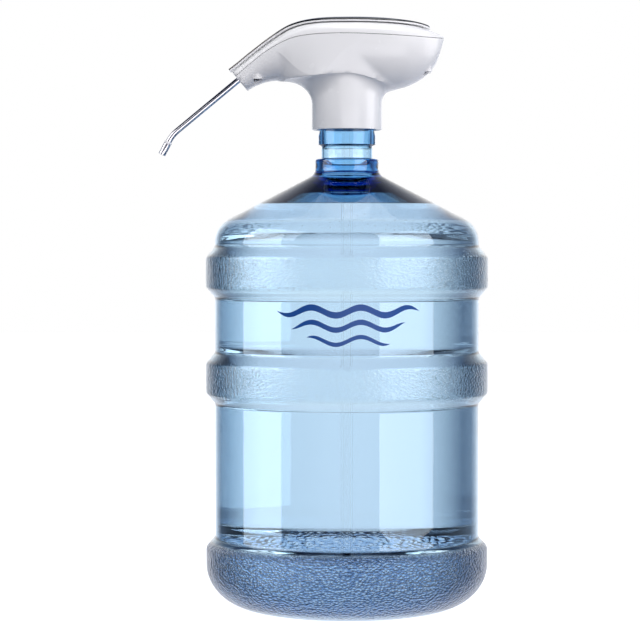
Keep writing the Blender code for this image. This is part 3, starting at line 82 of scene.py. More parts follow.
# ================================================================ materials
class Graph:
    """A material's node tree with its Principled shader, built one node at a time."""

    def __init__(self, name: str) -> None:
        """Start a material.

        Args:
            name: the material's name.
        """
        self.material = bpy.data.materials.new(name)
        self.material.use_nodes = True
        self.tree = self.material.node_tree
        self.shader = self.tree.nodes["Principled BSDF"]
        self.output = self.tree.nodes["Material Output"]

    def node(self, kind: str, **settings: object) -> bpy.types.Node:
        """Add a node.

        Args:
            kind: the node's type name.
            **settings: attributes set on the node.

        Returns:
            The new node.
        """
        made = self.tree.nodes.new(kind)
        for key, value in settings.items():
            setattr(made, key, value)
        return made

    def link(self, source: bpy.types.NodeSocket, target: bpy.types.NodeSocket) -> None:
        """Join an output to an input."""
        self.tree.links.new(source, target)

    def set(self, **values: object) -> None:
        """Set sockets on the shader, with underscores for the spaces in their names."""
        for key, value in values.items():
            self.shader.inputs[key.replace("_", " ")].default_value = value

    def place(self, stretch: Sequence[float] = (1.0, 1.0, 1.0)) -> bpy.types.NodeSocket:
        """Give Object coordinates, scaled axis by axis.

        Args:
            stretch: the scale along each axis.

        Returns:
            The vector output.
        """
        where = self.node("ShaderNodeTexCoord")
        mapping = self.node("ShaderNodeMapping")
        mapping.inputs["Scale"].default_value = stretch
        self.link(where.outputs["Object"], mapping.inputs["Vector"])
        return mapping.outputs["Vector"]

    def noise(self, vector: bpy.types.NodeSocket, scale: float, detail: float = 2.0) -> bpy.types.NodeSocket:
        """Give a noise value.

        Args:
            vector: where the noise is read.
            scale: how fine it is.
            detail: how many layers it has.

        Returns:
            The value output, from 0 to 1.
        """
        made = self.node("ShaderNodeTexNoise")
        made.inputs["Scale"].default_value = scale
        made.inputs["Detail"].default_value = detail
        self.link(vector, made.inputs["Vector"])
        return made.outputs["Fac"]

    def cells(self, vector: bpy.types.NodeSocket, scale: float, jitter: float = 0.85) -> bpy.types.NodeSocket:
        """Give the distance from the middle of each cell.

        Args:
            vector: where the cells are read.
            scale: cells in a metre.
            jitter: how irregular they are.

        Returns:
            The distance output.
        """
        made = self.node("ShaderNodeTexVoronoi", feature="F1")
        made.inputs["Scale"].default_value = scale
        made.inputs["Randomness"].default_value = jitter
        self.link(vector, made.inputs["Vector"])
        return made.outputs["Distance"]

    def spread(self, value: bpy.types.NodeSocket, low: float, high: float) -> bpy.types.NodeSocket:
        """Map 0..1 to low..high.

        Args:
            value: the value to map.
            low: the result at 0.
            high: the result at 1.

        Returns:
            The mapped value.
        """
        made = self.node("ShaderNodeMapRange")
        made.inputs["To Min"].default_value = low
        made.inputs["To Max"].default_value = high
        self.link(value, made.inputs["Value"])
        return made.outputs["Result"]

    def times(self, first: bpy.types.NodeSocket, second: bpy.types.NodeSocket) -> bpy.types.NodeSocket:
        """Multiply two values."""
        made = self.node("ShaderNodeMath", operation="MULTIPLY")
        self.link(first, made.inputs[0])
        self.link(second, made.inputs[1])
        return made.outputs[0]

    def attribute(self, name: str) -> bpy.types.NodeSocket:
        """Read a value stored on the mesh's points."""
        made = self.node("ShaderNodeAttribute", attribute_type="GEOMETRY", attribute_name=name)
        return made.outputs["Fac"]

    def tint(self, amount: bpy.types.NodeSocket, first: Colour, second: Colour) -> bpy.types.NodeSocket:
        """Blend two colours.

        Args:
            amount: 0 for the first colour and 1 for the second.
            first: one colour.
            second: the other colour.

        Returns:
            The colour output.
        """
        made = self.node("ShaderNodeMix", data_type="RGBA")
        for socket, value in ((made.inputs[6], first), (made.inputs[7], second)):
            socket.default_value = (*value, 1.0)
        self.link(amount, made.inputs["Factor"])
        return made.outputs[2]

    def bump(self, height: bpy.types.NodeSocket, depth: float, strength: float = 1.0,
             below: Optional[bpy.types.NodeSocket] = None) -> bpy.types.NodeSocket:
        """Turn a height into a normal.

        Args:
            height: the height, from 0 to 1.
            depth: what a height of 1 stands for, in metres.
            strength: how much of it counts.
            below: another normal that this one adds to.

        Returns:
            The normal output.
        """
        made = self.node("ShaderNodeBump")
        made.inputs["Distance"].default_value = depth
        made.inputs["Strength"].default_value = strength
        self.link(height, made.inputs["Height"])
        if below is not None:
            self.link(below, made.inputs["Normal"])
        return made.outputs["Normal"]

    def feed(self, socket: str, value: bpy.types.NodeSocket) -> None:
        """Link a value to one of the shader's inputs."""
        self.link(value, self.shader.inputs[socket])


@dataclass(frozen=True)
class MouldedPlastic:
    """Injection-moulded plastic: an even colour with a very fine grain and a slightly uneven gloss."""

    name: str
    colour: Colour
    roughness: float = 0.30
    grain: Grain = Grain.SATIN
    coat: float = 0.0

    def build(self) -> bpy.types.Material:
        """Make the material."""
        graph = Graph(self.name)
        place = graph.place()
        cells, depth = self.grain.value
        cloud = graph.noise(place, 18.0, 3.0)
        darker = tuple(part * 0.965 for part in self.colour)
        graph.feed("Base Color", graph.tint(cloud, darker, self.colour))
        graph.feed("Roughness", graph.spread(graph.noise(place, 55.0), self.roughness * 0.85,
                                             self.roughness * 1.15))
        graph.feed("Normal", graph.bump(graph.noise(place, cells, 3.0), depth))
        graph.set(IOR=1.48, Coat_Weight=self.coat, Coat_Roughness=0.06)
        return graph.material


@dataclass(frozen=True)
class ClearPlastic:
    """See-through plastic that takes up light with thickness, and has a grip grain where it is asked for,
    with painted navy shade in the grain where it is strongest.
    """

    name: str
    ior: float
    passes: Colour                  # the colour that survives, read with density
    density: float                  # per metre
    roughness: float = 0.015
    grain_depth: float = 0.0
    grain_cells: float = 330.0

    def build(self) -> bpy.types.Material:
        """Make the material."""
        graph = Graph(self.name)
        place = graph.place()
        graph.set(Base_Color=(1.0, 1.0, 1.0, 1.0), Transmission_Weight=1.0, IOR=self.ior)
        ripple = graph.bump(graph.noise(place, 26.0, 1.0), 0.0010, 0.10)
        haze = graph.noise(place, 90.0)
        if self.grain_depth:
            grain_and_shade_mask = graph.attribute("grain")
            slant = graph.place((1.0, 1.0, 1.35))
            cell = graph.cells(slant, self.grain_cells)
            rough = graph.noise(slant, self.grain_cells * 1.7, 2.0)
            height = graph.times(graph.times(cell, graph.spread(rough, 0.55, 1.25)), grain_and_shade_mask)
            graph.feed("Normal", graph.bump(height, self.grain_depth, 1.0, ripple))
            # Painted shade: where the grain passes one half, on the base ring, the colour turns navy, darkest
            # at the edges of the grain cells.
            painted_base_shade = graph.times(graph.spread(grain_and_shade_mask, -1.0, 1.0), graph.spread(cell, 0.25, 1.5))
            graph.feed("Base Color", graph.tint(painted_base_shade, (1.0, 1.0, 1.0), (0.24, 0.38, 0.66)))
        else:
            graph.feed("Normal", ripple)
        graph.feed("Roughness", graph.spread(haze, self.roughness * 0.5, self.roughness * 1.5))
        self.let_light_through(graph)
        if self.density:
            volume = graph.node("ShaderNodeVolumeAbsorption")
            volume.inputs["Color"].default_value = (*self.passes, 1.0)
            volume.inputs["Density"].default_value = self.density
            graph.link(volume.outputs[0], graph.output.inputs["Volume"])
        return graph.material

    @staticmethod
    def let_light_through(graph: Graph) -> None:
        """Let shadow rays pass straight through, so that the floor behind isn't left dark."""
        path = graph.node("ShaderNodeLightPath")
        plain = graph.node("ShaderNodeBsdfTransparent")
        mix = graph.node("ShaderNodeMixShader")
        graph.link(path.outputs["Is Shadow Ray"], mix.inputs[0])
        graph.link(graph.shader.outputs[0], mix.inputs[1])
        graph.link(plain.outputs[0], mix.inputs[2])
        graph.link(mix.outputs[0], graph.output.inputs["Surface"])


@dataclass(frozen=True)
class Metal:
    """Bare or plated metal, with faint lines along one axis when it is drawn or turned."""

    name: str
    colour: Colour
    roughness: float
    stretch: tuple[float, float, float] = (1.0, 1.0, 1.0)
    line_depth: float = 0.000004

    def build(self) -> bpy.types.Material:
        """Make the material."""
        graph = Graph(self.name)
        place = graph.place(self.stretch)
        lines = graph.noise(place, 420.0, 3.0)
        stain = graph.noise(graph.place(), 60.0, 2.0)
        darker = tuple(part * 0.90 for part in self.colour)
        graph.feed("Base Color", graph.tint(stain, darker, self.colour))
        graph.feed("Roughness", graph.spread(lines, self.roughness * 0.7, self.roughness * 1.3))
        graph.feed("Normal", graph.bump(lines, self.line_depth))
        graph.set(Metallic=1.0)
        return graph.material


@dataclass(frozen=True)
class Rubber:
    """Soft moulded rubber or silicone, matt, with a powdery grain."""

    name: str
    colour: Colour
    roughness: float = 0.62
    clear: float = 0.0

    def build(self) -> bpy.types.Material:
        """Make the material."""
        graph = Graph(self.name)
        place = graph.place()
        dust = graph.noise(place, 130.0, 4.0)
        paler = tuple(min(part * 1.10 + 0.01, 1.0) for part in self.colour)
        graph.feed("Base Color", graph.tint(dust, self.colour, paler))
        graph.feed("Roughness", graph.spread(dust, self.roughness * 0.85, self.roughness * 1.1))
        graph.feed("Normal", graph.bump(graph.noise(place, 1500.0, 2.0), 0.00004))
        graph.set(IOR=1.43, Transmission_Weight=self.clear)
        return graph.material


@dataclass(frozen=True)
class PrintedBoard:
    """Green solder resist with the copper tracks showing through it as a faint relief."""

    name: str
    colour: Colour = (0.012, 0.110, 0.040)
    track: Colour = (0.030, 0.200, 0.075)

    def build(self) -> bpy.types.Material:
        """Make the material."""
        graph = Graph(self.name)
        place = graph.place()
        tracks = graph.node("ShaderNodeTexBrick", offset=0.35)
        tracks.inputs["Scale"].default_value = 320.0
        tracks.inputs["Mortar Size"].default_value = 0.06
        graph.link(place, tracks.inputs["Vector"])
        graph.feed("Base Color", graph.tint(tracks.outputs["Fac"], self.colour, self.track))
        graph.feed("Normal", graph.bump(tracks.outputs["Fac"], 0.00004))
        graph.feed("Roughness", graph.spread(graph.noise(place, 200.0), 0.30, 0.42))
        return graph.material


@dataclass(frozen=True)
class Wrap:
    """Shrunk film or extruded insulation, with fine wrinkles round the piece."""

    name: str
    colour: Colour
    stretch: tuple[float, float, float] = (6.0, 1.0, 1.0)
    roughness: float = 0.34

    def build(self) -> bpy.types.Material:
        """Make the material."""
        graph = Graph(self.name)
        wrinkle = graph.noise(graph.place(self.stretch), 60.0, 3.0)
        darker = tuple(part * 0.8 for part in self.colour)
        graph.feed("Base Color", graph.tint(wrinkle, darker, self.colour))
        graph.feed("Normal", graph.bump(wrinkle, 0.00010))
        graph.feed("Roughness", graph.spread(wrinkle, self.roughness * 0.8, self.roughness * 1.2))
        return graph.material


WALL_BLUE: Colour = (0.30, 0.68, 0.90)
WALL_DENSITY = 250.0
WATER_IOR = 1.333
PLASTIC_IOR = 1.58


class Palette:
    """Every finish on the object, built once."""

    def __init__(self) -> None:
        """Build the materials."""
        self.wall = ClearPlastic("bottle_wall", PLASTIC_IOR, WALL_BLUE, WALL_DENSITY, 0.010, 0.0016).build()
        self.water = ClearPlastic("water", WATER_IOR, (1.0, 1.0, 1.0), 0.0, 0.002).build()
        self.tube_in_water = ClearPlastic("suction_plastic", 1.04, (1.0, 1.0, 1.0), 0.0, 0.02).build()
        self.ink = MouldedPlastic("print_ink", (0.006, 0.075, 0.33), 0.38, Grain.MATT).build()
        self.shell = MouldedPlastic("shell_plastic", (0.90, 0.90, 0.915), 0.26, Grain.POLISHED, 0.25).build()
        self.panel = MouldedPlastic("panel_gloss", (0.010, 0.010, 0.012), 0.06, Grain.POLISHED, 1.0).build()
        # Satin finish plus painted highlight: a grey for the rim of the panel's sloping front, standing in
        # for the light it reflects there.
        self.panel_satin_rim_highlight = MouldedPlastic("panel_satin_rim_highlight", (0.17, 0.155, 0.15), 0.22, Grain.SATIN).build()
        self.button = MouldedPlastic("button_grey", (0.30, 0.31, 0.33), 0.42, Grain.MATT).build()
        self.inner = MouldedPlastic("inner_plastic", (0.06, 0.06, 0.065), 0.46, Grain.MATT).build()
        self.clear = ClearPlastic("clear_plastic", 1.47, (0.80, 0.90, 0.95), 60.0, 0.06).build()
        self.hose = Rubber("hose_silicone", (0.80, 0.82, 0.83), 0.38, 0.55).build()
        self.seal = Rubber("seal_rubber", (0.62, 0.63, 0.65)).build()
        self.flap = Rubber("flap_rubber", (0.74, 0.74, 0.76), 0.52).build()
        self.chrome = Metal("spout_chrome", (0.82, 0.81, 0.86), 0.09, line_depth=0.0000005).build()
        self.spring = Metal("spring_steel", (0.50, 0.50, 0.52), 0.28).build()
        self.screw = Metal("screw_steel", (0.42, 0.42, 0.44), 0.34).build()
        self.motor = Metal("motor_steel", (0.55, 0.55, 0.56), 0.30, (0.1, 4.0, 4.0)).build()
        self.brass = Metal("gear_brass", (0.72, 0.52, 0.22), 0.27, (1.0, 5.0, 5.0)).build()
        self.board = PrintedBoard("circuit_board").build()
        self.cell = Wrap("battery_wrap", (0.015, 0.10, 0.32)).build()
        self.lead = Wrap("lead_insulation", (0.45, 0.012, 0.010), (1.0, 1.0, 1.0), 0.42).build()
        self.lens = ClearPlastic("light_lens", 1.5, (0.65, 0.88, 1.0), 90.0, 0.10).build()


# ================================================================ meshes
def arc(centre: Pair, radii: Pair, start: float, end: float, steps: int) -> list[Pair]:
    """Give points along part of an ellipse.

    Args:
        centre: the middle, as (r, z).
        radii: the two half axes.
        start: the first angle, in degrees.
        end: the last angle, in degrees.
        steps: how many spans to use.

    Returns:
        The points, with both ends.
    """
    points = []
    for step in range(steps + 1):
        angle = math.radians(start + (end - start) * step / steps)
        points.append((centre[0] + radii[0] * math.cos(angle), centre[1] + radii[1] * math.sin(angle)))
    return points


def rounded(corners: Sequence[tuple[float, float, float]], steps: int = 7) -> list[Pair]:
    """Round the corners of a line.

    Args:
        corners: (r, z, fillet) for each corner.
        steps: how many spans each fillet has.

    Returns:
        The line's points.
    """
    points: list[Pair] = []
    for index, (r, z, fillet) in enumerate(corners):
        if not fillet:
            points.append((r, z))
            continue
        here = Vector((r, z))
        before = Vector(corners[index - 1][:2]) - here
        after = Vector(corners[index + 1][:2]) - here
        half = before.angle(after) / 2
        reach = fillet / math.tan(half)
        begin = here + before.normalized() * reach
        finish = here + after.normalized() * reach
        middle = here + (before.normalized() + after.normalized()).normalized() * fillet / math.sin(half)
        arm = begin - middle
        turn = arm.angle_signed(finish - middle)
        for step in range(steps + 1):
            swung = Matrix.Rotation(-turn * step / steps, 2) @ arm
            points.append(tuple(middle + swung))
    return points


def divided(line: Sequence[Pair], longest: float) -> list[Pair]:
    """Split a line's long spans so that none is longer than a limit.

    Args:
        line: the points.
        longest: the longest span to leave.

    Returns:
        The finer line.
    """
    points = [line[0]]
    for start, end in zip(line, line[1:]):
        count = max(1, math.ceil(math.dist(start, end) / longest))
        for step in range(1, count + 1):
            share = step / count
            points.append((start[0] + (end[0] - start[0]) * share, start[1] + (end[1] - start[1]) * share))
    return points


def finished(name: str, work: bmesh.types.BMesh, finishes: Sequence[bpy.types.Material],
             sharp: float = 40.0) -> bpy.types.Object:
    """Turn a working mesh into a shown object.

    Args:
        name: the piece's name.
        work: the mesh, which is freed.
        finishes: its materials, in slot order.
        sharp: the angle past which an edge stays sharp, in degrees.

    Returns:
        The object, at the origin.
    """
    bmesh.ops.remove_doubles(work, verts=work.verts, dist=TINY)
    bmesh.ops.recalc_face_normals(work, faces=work.faces)
    mesh = bpy.data.meshes.new(name)
    work.to_mesh(mesh)
    work.free()
    for finish in finishes:
        mesh.materials.append(finish)
    mesh.shade_smooth()
    mesh.set_sharp_from_angle(angle=math.radians(sharp))
    made = bpy.data.objects.new(name, mesh)
    bpy.context.scene.collection.objects.link(made)
    return made


def lathe(work: bmesh.types.BMesh, profile: Sequence[Pair], segments: int, matrix: Matrix = Matrix(),
          radius_at: Optional[Callable[[int, float], float]] = None,
          grain: Optional[Sequence[float]] = None) -> None:
    """Add a turned solid to a working mesh.

    Args:
        work: the mesh to add to.
        profile: (r, z) points, from axis to axis or a closed loop.
        segments: how many facets go round.
        matrix: where the solid stands; its axis is local Z.
        radius_at: gives the radius of a point from its index and angle.
        grain: how much grip grain each point has.
    """
    layer = work.verts.layers.float.get("grain") or (work.verts.layers.float.new("grain") if grain else None)
    rows = []
    for index, (r, z) in enumerate(profile):
        if r < TINY:
            rows.append([work.verts.new(matrix @ Vector((0.0, 0.0, z)))] * segments)
            continue
        row = []
        for step in range(segments):
            angle = 2 * math.pi * step / segments
            radius = radius_at(index, angle) if radius_at else r
            vertex = work.verts.new(matrix @ Vector((radius * math.cos(angle), radius * math.sin(angle), z)))
            if grain:
                vertex[layer] = grain[index]
            row.append(vertex)
        rows.append(row)
    closed = profile[0][0] > TINY
    spans = len(profile) if closed else len(profile) - 1
    for index in range(spans):
        first, second = rows[index], rows[(index + 1) % len(profile)]
        for step in range(segments):
            after = (step + 1) % segments
            corners = []
            for vertex in (first[step], first[after], second[after], second[step]):
                if vertex not in corners:
                    corners.append(vertex)
            if len(corners) > 2:
                work.faces.new(corners)


def turned(name: str, profile: Sequence[Pair], finish: bpy.types.Material, segments: int = 64,
           matrix: Matrix = Matrix(), sharp: float = 40.0) -> bpy.types.Object:
    """Make a turned piece.

    Args:
        name: the piece's name.
        profile: (r, z) points, from axis to axis or a closed loop.
        finish: its material.
        segments: how many facets go round.
        matrix: where it stands.
        sharp: the angle past which an edge stays sharp, in degrees.

    Returns:
        The object.
    """
    work = bmesh.new()
    lathe(work, profile, segments, matrix)
    return finished(name, work, [finish], sharp)


def block(work: bmesh.types.BMesh, size: Sequence[float], matrix: Matrix, bevel: float = 0.0) -> None:
    """Add a block with rounded edges to a working mesh.

    Args:
        work: the mesh to add to.
        size: its three sides.
        matrix: where its middle stands.
        bevel: how far the edges are rounded.
    """
    scale = Matrix.Diagonal((*size, 1.0))
    made = bmesh.ops.create_cube(work, size=1.0, matrix=matrix @ scale)
    if bevel:
        edges = list({edge for vertex in made["verts"] for edge in vertex.link_edges})
        bmesh.ops.bevel(work, geom=edges, offset=bevel, segments=3, profile=0.5, affect="EDGES")


def plain_object(name: str, build: Callable[[bmesh.types.BMesh], None]) -> bpy.types.Object:
    """Make an object without a finish, for cutting with.

    Args:
        name: its name.
        build: fills the working mesh.

    Returns:
        The object.
    """
    work = bmesh.new()
    build(work)
    return finished(name, work, [])


def carve(target: bpy.types.Object, tool: bpy.types.Object, operation: str = "DIFFERENCE") -> None:
    """Cut or join a piece with a tool, for good, and remove the tool.

    Args:
        target: the piece that changes.
        tool: the object it is cut or joined with.
        operation: the Boolean modifier's operation.
    """
    modifier = target.modifiers.new("Carve", "BOOLEAN")
    modifier.operation = operation
    modifier.solver = "MANIFOLD"
    modifier.object = tool
    bpy.context.view_layer.update()
    graph = bpy.context.evaluated_depsgraph_get()
    mesh = bpy.data.meshes.new_from_object(target.evaluated_get(graph))
    target.modifiers.remove(modifier)
    mesh.name = target.name
    target.data = mesh
    bpy.data.objects.remove(tool, do_unlink=True)


def bar(name: str, radius: float, start: Vector, end: Vector, segments: int = 32) -> bpy.types.Object:
    """Make a round tool from start to end.

    Args:
        name: its name.
        radius: its radius.
        start: one end.
        end: the other end.
        segments: how many facets go round.

    Returns:
        The object.
    """
    along = end - start
    matrix = Matrix.Translation(start) @ along.to_track_quat("Z", "Y").to_matrix().to_4x4()
    return plain_object(name, lambda work: lathe(
        work, [(0.0, 0.0), (radius, 0.0), (radius, along.length), (0.0, along.length)], segments, matrix))


def swept(work: bmesh.types.BMesh, route: Sequence[Vector], radius: float, bore: float,
          segments: int) -> None:
    """Add a hollow tube along a route in the XZ plane to a working mesh.

    Args:
        work: the mesh to add to.
        route: the tube's centre line.
        radius: its outer radius.
        bore: its inner radius.
        segments: how many facets go round.
    """
    rings = []
    side = Vector((0.0, 1.0, 0.0))
    for size in (radius, bore):
        for index, point in enumerate(route):
            before = route[max(index - 1, 0)]
            after = route[min(index + 1, len(route) - 1)]
            across = (after - before).normalized().cross(side)
            rings.append([work.verts.new(point + size * (math.cos(turn) * side + math.sin(turn) * across))
                          for turn in (2 * math.pi * step / segments for step in range(segments))])
    count = len(route)
    outer, inner = rings[:count], rings[count:]
    loop = outer + inner[::-1]
    for first, second in zip(loop, loop[1:] + loop[:1]):
        for step in range(segments):
            after = (step + 1) % segments
            work.faces.new((first[step], first[after], second[after], second[step]))


def show(piece: bpy.types.Object, body: Body, slot: Optional[str], *nodes: str) -> bpy.types.Object:
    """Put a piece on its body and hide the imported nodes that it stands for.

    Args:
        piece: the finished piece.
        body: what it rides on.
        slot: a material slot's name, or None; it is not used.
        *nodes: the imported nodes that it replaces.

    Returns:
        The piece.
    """
    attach(piece, body.value)
    if nodes:
        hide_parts(*nodes)
    LOG.info("%s: %d faces, rides on %s", piece.name, len(piece.data.polygons), body.value)
    return piece


# ================================================================ geometry nodes
class Scatter:
    """A Geometry Nodes tree that spreads one small shape over a surface and leaves a plain mesh."""

    def __init__(self, name: str, finish: bpy.types.Material) -> None:
        """Build the tree.

        Args:
            name: the tree's name.
            finish: the material that the shapes take.
        """
        tree = bpy.data.node_groups.new(name, "GeometryNodeTree")
        self.tree = tree
        self.sockets: dict[str, str] = {}
        face = tree.interface
        face.new_socket("Geometry", in_out="INPUT", socket_type="NodeSocketGeometry")
        for label, kind, default in (("Density", "NodeSocketFloat", 20000.0),
                                     ("Radius", "NodeSocketFloat", 0.001),
                                     ("Spacing", "NodeSocketFloat", 0.003),
                                     ("Flatness", "NodeSocketFloat", 0.4),
                                     ("Seed", "NodeSocketInt", 1)):
            socket = face.new_socket(label, in_out="INPUT", socket_type=kind)
            socket.default_value = default
            self.sockets[label] = socket.identifier
        face.new_socket("Geometry", in_out="OUTPUT", socket_type="NodeSocketGeometry")
        given = tree.nodes.new("NodeGroupInput")
        result = tree.nodes.new("NodeGroupOutput")
        points = tree.nodes.new("GeometryNodeDistributePointsOnFaces")
        points.distribute_method = "POISSON"
        ball = tree.nodes.new("GeometryNodeMeshIcoSphere")
        ball.inputs["Subdivisions"].default_value = 2
        size = tree.nodes.new("ShaderNodeCombineXYZ")
        chance = tree.nodes.new("FunctionNodeRandomValue")
        chance.inputs[2].default_value = 0.5
        chance.inputs[3].default_value = 1.0
        place = tree.nodes.new("GeometryNodeInstanceOnPoints")
        real = tree.nodes.new("GeometryNodeRealizeInstances")
        dress = tree.nodes.new("GeometryNodeSetMaterial")
        dress.inputs["Material"].default_value = finish
        scale = tree.nodes.new("ShaderNodeVectorMath")
        scale.operation = "SCALE"
        links = tree.links
        links.new(given.outputs["Geometry"], points.inputs["Mesh"])
        links.new(given.outputs["Density"], points.inputs["Density Max"])
        links.new(given.outputs["Spacing"], points.inputs["Distance Min"])
        links.new(given.outputs["Seed"], points.inputs["Seed"])
        links.new(given.outputs["Seed"], chance.inputs["Seed"])
        links.new(given.outputs["Radius"], ball.inputs["Radius"])
        size.inputs["X"].default_value = 1.0
        size.inputs["Y"].default_value = 1.0
        links.new(given.outputs["Flatness"], size.inputs["Z"])
        links.new(size.outputs[0], scale.inputs[0])
        links.new(chance.outputs[1], scale.inputs["Scale"])
        links.new(points.outputs["Points"], place.inputs["Points"])
        links.new(points.outputs["Rotation"], place.inputs["Rotation"])
        links.new(ball.outputs["Mesh"], place.inputs["Instance"])
        links.new(scale.outputs[0], place.inputs["Scale"])
        links.new(place.outputs["Instances"], real.inputs["Geometry"])
        links.new(real.outputs["Geometry"], dress.inputs["Geometry"])
        links.new(dress.outputs["Geometry"], result.inputs["Geometry"])

    def run(self, surface: bpy.types.Object, name: str, **sizes: float) -> bpy.types.Object:
        """Spread the shape over a surface.

        Args:
            surface: the object whose faces are covered; it is removed.
            name: the new piece's name.
            **sizes: values for the tree's named inputs.

        Returns:
            The plain mesh object.
        """
        modifier = surface.modifiers.new("Scatter", "NODES")
        modifier.node_group = self.tree
        for label, value in sizes.items():
            modifier[self.sockets[label]] = value
        bpy.context.view_layer.update()
        graph = bpy.context.evaluated_depsgraph_get()
        mesh = bpy.data.meshes.new_from_object(surface.evaluated_get(graph))
        mesh.name = name
        mesh.shade_smooth()
        made = bpy.data.objects.new(name, mesh)
        bpy.context.scene.collection.objects.link(made)
        bpy.data.objects.remove(surface, do_unlink=True)
        return made


# ================================================================ bottle and water
@dataclass
class Bottle:
    """The blow-moulded bottle and the water in it."""

    finishes: Palette
    body_radius: float = 0.1276
    ring_radius: float = 0.1364
    wall: float = 0.0018
    foot_radius: float = 0.084
    foot_inner_radius: float = 0.066
    base_recess: float = 0.0025
    base_corner: float = 0.044
    base_ring_top: float = 0.060
    slope: float = 0.0105
    lower_body_top: float = 0.199
    ring_height: float = 0.050
    upper_body_top: float = 0.301
    shoulder_edge: float = 0.0195
    shoulder_angle: float = math.radians(27.3)
    neck_radius: float = 0.0245
    neck_bore: float = 0.0225
    neck_base_radius: float = 0.0305
    neck_base_height: float = 0.0143
    stem_height: float = 0.0125
    crown_radius: float = 0.0266
    lug_radius: float = 0.0275
    lug_height: float = 0.0100
    crown_height: float = 0.0325
    water_level: float = 0.3915
    segments: int = 240
    swell: float = 0.0050

    def __post_init__(self) -> None:
        """Work out the heights that follow from the sizes."""
        self.corner_z = self.upper_body_top + self.ring_height + self.shoulder_edge
        self.neck_base_z = self.corner_z + ((self.body_radius - self.neck_base_radius)
                                            * math.tan(self.shoulder_angle))
        self.stem_z = self.neck_base_z + self.neck_base_height
        self.crown_z = self.stem_z + self.stem_height
        self.top = self.crown_z + self.lug_height + self.crown_height

    def cone_z(self, radius: float, depth: float) -> float:
        """Height of the shoulder's cone at a radius, the given depth under its surface."""
        rise = (self.body_radius - radius) * math.tan(self.shoulder_angle)
        return self.corner_z + rise - depth / math.cos(self.shoulder_angle)

    def sides(self, inset: float) -> list[tuple[float, float, float]]:
        """Give the corners of the ringed wall from the base ring to the shoulder's edge.

        Args:
            inset: how far inside the outer surface the line runs.

        Returns:
            (r, z, fillet) for each corner.
        """
        ring, wall = self.ring_radius - inset, self.body_radius - inset
        middle_top = self.lower_body_top + self.ring_height
        upper_top = self.upper_body_top + self.ring_height
        corners = [(ring, self.base_corner, 0.0), (ring, self.base_ring_top, self.swell),
                   (wall, self.base_ring_top + self.slope, self.swell)]
        for low, high in ((self.lower_body_top, middle_top), (self.upper_body_top, upper_top)):
            corners += [(wall, low, self.swell), (ring, low + self.slope, self.swell),
                        (ring, high - self.slope, self.swell), (wall, high, self.swell)]
        return corners

    def outer_line(self) -> list[Pair]:
        """Give the outer surface, from the axis under the base up to the rim."""
        foot = [(0.0, self.base_recess), (self.foot_inner_radius - 0.008, self.base_recess),
                *arc((self.foot_inner_radius, self.base_recess), (0.006, self.base_recess), 205, 270, 4),
                (self.foot_radius - 0.004, 0.0)]
        corner = arc((self.foot_radius, self.base_corner),
                     (self.ring_radius - self.foot_radius, self.base_corner), -90, 0, 22)
        upper = rounded([
            *self.sides(0.0), (self.body_radius, self.corner_z, 0.025),
            (self.neck_base_radius, self.neck_base_z, 0.009), (self.neck_base_radius, self.stem_z, 0.0016),
            (self.neck_radius, self.stem_z + 0.0004, 0.0008), (self.neck_radius, self.crown_z, 0.0),
            (self.crown_radius, self.crown_z + 0.0016, 0.0006),
            (self.crown_radius, self.crown_z + self.lug_height, 0.0),
            (self.crown_radius, self.top, 0.0012), (self.neck_bore, self.top, 0.0)])
        return foot + corner + upper[1:-1]

    def inner_line(self) -> list[Pair]:
        """Give the inner surface, from the axis over the floor up to the mouth, thick towards the neck."""
        floor = self.base_recess + self.wall
        inset = self.wall
        ring = self.ring_radius - inset
        corner = arc((self.foot_radius - inset, self.base_corner),
                     (ring - self.foot_radius + inset, self.base_corner - inset), -90, 0, 22)
        base = [(0.0, floor), (self.foot_inner_radius - 0.008, floor),
                (self.foot_inner_radius + 0.002, floor - 0.0018)]
        below = self.corner_z - inset * math.tan(self.shoulder_angle / 2)
        thick_from, thick_mid = 0.088, 0.060
        upper = rounded([
            *self.sides(inset), (self.body_radius - inset, below, 0.0235),
            (thick_from, self.cone_z(thick_from, inset), 0.0),
            (thick_mid, self.cone_z(thick_mid, 0.0034), 0.0),
            (self.neck_bore + 0.004, self.cone_z(self.neck_bore + 0.004, 0.0098), 0.0060),
            (self.neck_bore, self.stem_z, 0.0), (self.neck_bore, self.top, 0.0)])
        return base + corner + upper[1:]

    def split_at(self, line: Sequence[Pair], height: float) -> list[Pair]:
        """Put a point on a line where it crosses a height.

        Args:
            line: the points, rising.
            height: the height that needs a point.

        Returns:
            The line with its new point.
        """
        points = [line[0]]
        for start, end in zip(line, line[1:]):
            if start[1] < height < end[1]:
                share = (height - start[1]) / (end[1] - start[1])
                points.append((start[0] + (end[0] - start[0]) * share, height))
            points.append(end)
        return points

    def grain_at(self, r: float, z: float) -> float:
        """How strong the grip grain is at a point of the outer surface; past one half, on the base ring, it
        also brings painted navy shade.
        """
        if z < self.base_ring_top + 0.004:
            return min(max((z - 0.003) / 0.006, 0.0), 1.0)
        middle_top = self.lower_body_top + self.ring_height
        upper_top = self.upper_body_top + self.ring_height
        for low, high, amount in ((self.lower_body_top, middle_top, 0.50),
                                  (self.upper_body_top, upper_top, 0.42)):
            inside = min(z - low - self.slope, high - self.slope - z)
            if inside > -0.003:
                return amount * min(max((inside + 0.003) / 0.006, 0.0), 1.0)
        return 0.0

    def build_wall(self) -> bpy.types.Object:
        """Make the bottle, with its lugs and its grain."""
        outer = divided(self.outer_line(), 0.004)
        inner = divided(self.inner_line(), 0.006)
        profile = outer + inner[::-1]
        grain = [self.grain_at(r, z) for r, z in outer] + [0.0] * len(inner)
        lug_low, lug_high = self.crown_z + 0.0012, self.crown_z + self.lug_height + 0.001

